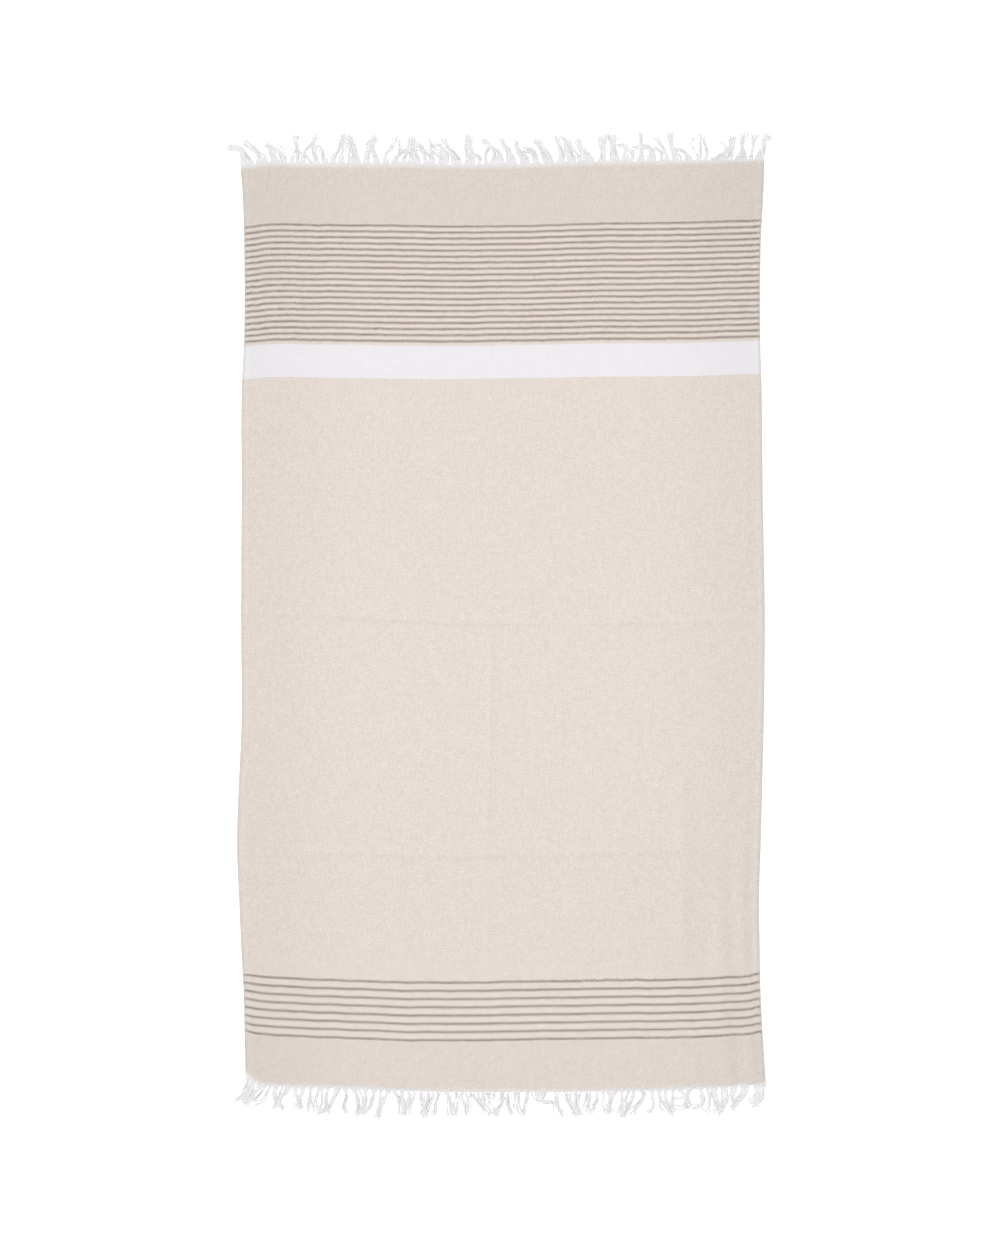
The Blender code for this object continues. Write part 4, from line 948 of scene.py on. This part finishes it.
def weaveMaterial():
    material, tree, surface = newMaterial("gooseEyeTwill")
    place, u, v = readMap(tree, "clothMap")
    facts = weaveFacts

    def add(*values):
        return calc(tree, "ADD", *values)

    def less(*values):
        return calc(tree, "SUBTRACT", *values)

    def times(*values):
        return calc(tree, "MULTIPLY", *values)

    def swing(value, by):
        # a number around 0, from noise around a half
        return times(less(value, 0.5), by)

    def beside(value, middle):
        return calc(tree, "ABSOLUTE", less(value, middle))

    def zone(value, low, high, soft):
        # 1 between low and high
        leaving = ramp(tree, value, high - soft, high + soft, 1, 0)
        return times(ramp(tree, value, low - soft, low + soft), leaving)

    # the goose-eye: zigzags that turn back both ways, so that they close into diamonds
    halfWide, halfLong = facts["repeatWide"] * mm / 2, facts["repeatLong"] * mm / 2
    size, by = facts["repeatStrays"]
    wanderedU = add(u, swing(grain(tree, place, (size, size, 1)), by * mm))
    wanderedV = add(v, swing(grain(tree, place, (size, size, 1), start=7), by * mm))
    zigAcross = calc(tree, "DIVIDE", calc(tree, "PINGPONG", wanderedU, halfWide), halfWide)
    zigAlong = calc(tree, "DIVIDE", calc(tree, "PINGPONG", wanderedV, halfLong), halfLong)
    lattice = less(1, beside(add(zigAcross, zigAlong), 1))
    diamonds = ramp(tree, lattice, *facts["diamondSoft"])
    repeatsU, repeatsV = times(wanderedU, 0.5 / halfWide), times(wanderedV, 0.5 / halfLong)

    # single threads, finer than the photograph shows
    perThread = facts["threadsIn"] * 2 * math.pi
    warpThread = calc(tree, "COSINE", times(u, perThread / (facts["repeatWide"] * mm)))
    weftThread = calc(tree, "COSINE", times(v, perThread / (facts["repeatLong"] * mm)))
    threads = times(warpThread, weftThread)
    threadShows = times(threads, facts["threadShows"])

    # slubs along the weft and the warp, the cloth's own mottle, and each diamond's own shade
    grains = {name: grain(tree, place, (across, along, 1), detail)
              for name, (across, along, detail) in facts["grains"].items()}
    grains["eachDiamond"] = chanceOf(tree, add(repeatsU, repeatsV), less(repeatsU, repeatsV))

    # the zigzag lines
    wander = 0
    for across, along, detail, by in facts["lineStrays"]:
        wander = add(wander, swing(grain(tree, place, (across, along, 1), detail), by * mm))
    zigzag = swing(zigAcross, 2 * facts["lineSwing"] * mm)
    thin, thick = (share * facts["lineThick"] for share in facts["lineSoft"])

    def lines(first, pitch, count):
        # how far each point is inside one of the lines, counted down from the first
        off = calc(tree, "PINGPONG", less(add(add(v, wander), zigzag), first), pitch / 2)
        off = add(off, swing(grains["cloudy"], facts["lineRagged"] * mm))
        above = calc(tree, "GREATER_THAN", v, first - pitch * (count - 1) - pitch / 2)
        below = calc(tree, "LESS_THAN", v, first + pitch / 2)
        return times(fade(tree, off, thin, thick), times(above, below))

    headLines = lines(facts["headFirst"], facts["headPitch"], facts["headLines"])
    footLines = lines(facts["footFirst"], facts["footPitch"], facts["footLines"])
    lined = calc(tree, "MAXIMUM", headLines, footLines)

    # the plain band, the grounds of the lines, and the plain ends beyond them
    band = zone(v, facts["bandLow"], facts["bandHigh"], facts["bandSoft"] * mm)
    pastHead, pastFoot, soft = (part * mm for part in facts["groundBeyond"])
    headZone = zone(v, facts["bandHigh"], facts["headFirst"] + pastHead, soft)
    footLast = facts["footFirst"] - facts["footPitch"] * (facts["footLines"] - 1)
    footZone = zone(v, footLast - pastFoot, facts["footFirst"] + pastFoot, soft)
    headHem = ramp(tree, v, *(facts["headFirst"] + part * mm for part in facts["headHemBeyond"]))
    footHem = fade(tree, v, *facts["footHemHigh"])
    hems = add(times(headHem, facts["hemShows"][0]), times(footHem, facts["hemShows"][1]))

    beigeShare = calc(tree, "ADD", diamonds, threadShows, clamp=True)
    ground = blend(tree, beigeShare, facts["warpWhite"], facts["weftBeige"])
    lineGround = times(calc(tree, "MAXIMUM", headZone, footZone), facts["lineGroundShows"])
    ground = blend(tree, lineGround, ground, facts["lineGround"])
    ground = blend(tree, hems, ground, facts["hemBeige"])
    inked = ramp(tree, add(grains["blots"], swing(grains["eachDiamond"], facts["inkByDiamond"])),
                 *facts["lineInk"])
    colour = blend(tree, times(lined, inked), ground, facts["taupe"])
    shade = add(facts["bandShadeShows"], threadShows)
    colour = blend(tree, band, colour, blend(tree, shade, facts["bandWhite"], facts["bandShade"]))

    # selvedges: a grey rim and a pale outermost thread
    fromSide = calc(tree, "MINIMUM", u, less(clothWidth, u))
    colour = blend(tree, fade(tree, fromSide, *facts["rim"]), colour, facts["edgeGrey"])
    colour = blend(tree, fade(tree, fromSide, *facts["outerThread"]), colour, facts["headingWhite"])
    # ends: the beige weft gives way to white picks
    fromEnd = calc(tree, "MINIMUM", v, less(clothLength, v))
    ragged = add(fromEnd, swing(grains["weftSlub"], facts["headingRagged"] * mm))
    colour = blend(tree, fade(tree, ragged, *facts["heading"]), colour, facts["headingWhite"])

    # tone: slubs and mottle, the plain ends, painted shade towards the sides, painted light and shade over
    # broad places, and painted shade along the lines where it was folded
    swings = 0
    for name, by in facts["toneSwings"].items():
        swings = add(swings, swing(grains[name], by))
    swings = times(swings, less(1, times(band, facts["bandCalm"])))
    tone = add(less(1.0, times(add(headHem, footHem), facts["hemDarker"])), swings)
    tone = add(tone, fade(tree, beside(fromSide, facts["turnedAt"] * mm), *facts["turnedLighter"]))
    # painted shade, darker towards the sides
    tone = less(tone, fade(tree, fromSide, *facts["paintedSideShade"]))
    # broad places of painted light and shade
    for uLow, uHigh, vLow, vHigh, soft, by in facts["swells"]:
        tone = add(tone, times(times(zone(u, uLow, uHigh, soft), zone(v, vLow, vHigh, soft)), by))
    # painted shade along the lines where the cloth was folded, patchy with the clouds
    least, cloudShare = facts["creaseShadeCloudy"]
    cloudiness = add(least, times(grains["cloudy"], cloudShare))
    for across, along, shadedFolds in ((v, u, facts["creaseShadeAcross"]), (u, v, facts["creaseShadeAlong"])):
        for middle, halfWidth, *stretches in shadedFolds:
            crossing = fade(tree, beside(across, middle), 0, halfWidth)
            for starts, ends, darker in stretches:
                there = times(zone(along, starts, ends, facts["creaseShadeSoft"]), cloudiness)
                tone = less(tone, times(times(crossing, there), darker))
    toned = tree.nodes.new("ShaderNodeVectorMath")
    toned.operation = "SCALE"
    tree.links.new(colour, toned.inputs[0])
    tree.links.new(tone, toned.inputs["Scale"])

    # relief: diamonds stand up, threads and slubs ripple, the plain band lies lower
    relief = add(times(less(1, lattice), less(1, band)), threadShows)
    relief = add(relief, times(grains["weftSlub"], facts["slubRelief"]))
    between, more = facts["roughness"]
    tree.links.new(add(between, times(lattice, more)), surface.inputs["Roughness"])
    finishSurface(tree, surface, toned.outputs[0], relief, facts)
    return material


yarnFacts = {
    "white": linear(248, 247, 248),
    "shade": linear(241, 239, 240),
    "warm": linear(243, 239, 238),
    "byCloth": linear(212, 203, 197),
    "nearCloth": (-1, 13, 0.32),  # mm: full up to, none from, share
    "fibreSize": (900, 3.0),  # scale of the grain, and its detail
    "patchSize": (70, 2.0),
    "fibreShade": (0.35, 0.75),  # grain from and to which the shade grows
    "patchWarm": (0.5, 0.8, 0, 0.5),  # the same for the warm patches, and their least and most
    "bump": (0.25, 0.1),  # strength, and height in mm
    "surface": {"Roughness": 0.92, "Specular IOR Level": 0.1, "Sheen Weight": 0.1},
}


def yarnMaterial():
    material, tree, surface = newMaterial("undyedCottonYarn")
    facts = yarnFacts
    place = tree.nodes.new("ShaderNodeTexCoord").outputs["Object"]
    fibre, patch = (grain(tree, place, [scale] * 3, detail)
                    for scale, detail in (facts["fibreSize"], facts["patchSize"]))
    colour = blend(tree, ramp(tree, fibre, *facts["fibreShade"]), facts["white"], facts["shade"])
    colour = blend(tree, ramp(tree, patch, *facts["patchWarm"]), colour, facts["warm"])
    # the beige weft gives way to white over the first rows
    outwards = readMap(tree, "fringeMap")[2]
    colour = blend(tree, fade(tree, outwards, *facts["nearCloth"]), colour, facts["byCloth"])
    finishSurface(tree, surface, colour, fibre, facts)
    return material


sheet = makeSheet()
print("sheet:", len(sheet.data.polygons), "faces")
headFringe = makeFringe(headFringeFacts)
footFringe = makeFringe(footFringeFacts)
print("fringes:", len(headFringe.data.polygons), "and", len(footFringe.data.polygons), "faces")

# the solids were centred after they were laid out, so these pieces move as they did
places = placesOf(sheet.data)
cadLow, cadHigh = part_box("towel_cloth")
shift = (cadLow + cadHigh) / 2 - Vector((places.min(0) + places.max(0)) / 2)
shift.z = 0
print("shift in mm:", [round(part / mm, 2) for part in shift])
for piece in (sheet, headFringe, footFringe):
    for vertex in piece.data.vertices:
        vertex.co += shift

twill, yarn = weaveMaterial(), yarnMaterial()
for piece, node, slot, finish in (
    (sheet, "towel_cloth", "woven_cotton", twill),
    (headFringe, "fringe_head", "fringe_cotton", yarn),
    (footFringe, "fringe_foot", "fringe_cotton", yarn),
):
    piece.data.materials.clear()
    piece.data.materials.append(finish)
    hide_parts(node)
    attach(piece, body)

# floor, light and camera; metres
stageFacts = {
    "frameHeight": 2.4015,  # of the floor that the picture's height shows
    "lens": 100,  # mm, on a sensor of this height
    "sensor": 24,
    "seesTo": 200,
    "aim": (0.0019, 0.0),  # from the towel's measured middle
    "floorSize": 120,
    "floorLower": 0.0003,
    "floorWhite": 0.9,
    "floorGlow": 0.6,
    "sky": 0.575,
    "sunFrom": (-0.75, 0.45, 1.0),
    "sunPower": 1.25,
    "sunSpread": 40,  # degrees
    "boxAt": (-0.2, 0.25, 3.2),
    "boxSize": 1.8,
    "boxPower": 16,
    "boxColour": (0.93, 0.97, 1.0),
}


def addLamp(name, kind, power, at):
    lamp = bpy.data.lights.new(name, kind)
    lamp.energy = power
    holder = bpy.data.objects.new(name, lamp)
    holder.location = at
    holder.rotation_euler = Vector(at).to_track_quat("Z", "Y").to_euler()
    scene.collection.objects.link(holder)
    return lamp


def makeStage():
    facts = stageFacts
    bpy.ops.object.select_all(action="DESELECT")
    bpy.ops.mesh.primitive_plane_add(size=facts["floorSize"], location=(0, 0, -facts["floorLower"]))
    floor = bpy.context.object
    floor.name = "floor"
    material, tree, surface = newMaterial("paleFloor")
    surface.inputs["Base Color"].default_value = (*[facts["floorWhite"]] * 3, 1)
    surface.inputs["Roughness"].default_value = 1
    surface.inputs["Specular IOR Level"].default_value = 0
    surface.inputs["Emission Color"].default_value = (1, 1, 1, 1)
    surface.inputs["Emission Strength"].default_value = facts["floorGlow"]
    floor.data.materials.append(material)

    world = bpy.data.worlds.new("softbox")
    world.use_nodes = True
    tree = world.node_tree
    background = tree.nodes["Background"]
    background.inputs["Color"].default_value = (1, 1, 1, 1)
    # beyond the floor's far edge the camera sees white
    sight = tree.nodes.new("ShaderNodeLightPath").outputs["Is Camera Ray"]
    tree.links.new(ramp(tree, sight, 0, 1, facts["sky"], 1), background.inputs["Strength"])
    scene.world = world

    sun = addLamp("window light", "SUN", facts["sunPower"], facts["sunFrom"])
    sun.angle = math.radians(facts["sunSpread"])
    overhead = addLamp("overhead softbox", "AREA", facts["boxPower"], facts["boxAt"])
    overhead.shape = "SQUARE"
    overhead.size = facts["boxSize"]
    overhead.color = facts["boxColour"]

    lens = bpy.data.cameras.new("overhead")
    lens.lens = facts["lens"]
    lens.sensor_fit = "VERTICAL"
    lens.sensor_height = facts["sensor"]
    lens.clip_end = facts["seesTo"]
    camera = bpy.data.objects.new("overhead", lens)
    distance = facts["frameHeight"] * facts["lens"] / lens.sensor_height
    camera.location = (facts["aim"][0] + shift.x, facts["aim"][1] + shift.y, distance)
    scene.collection.objects.link(camera)
    scene.camera = camera


makeStage()
print("stage made")
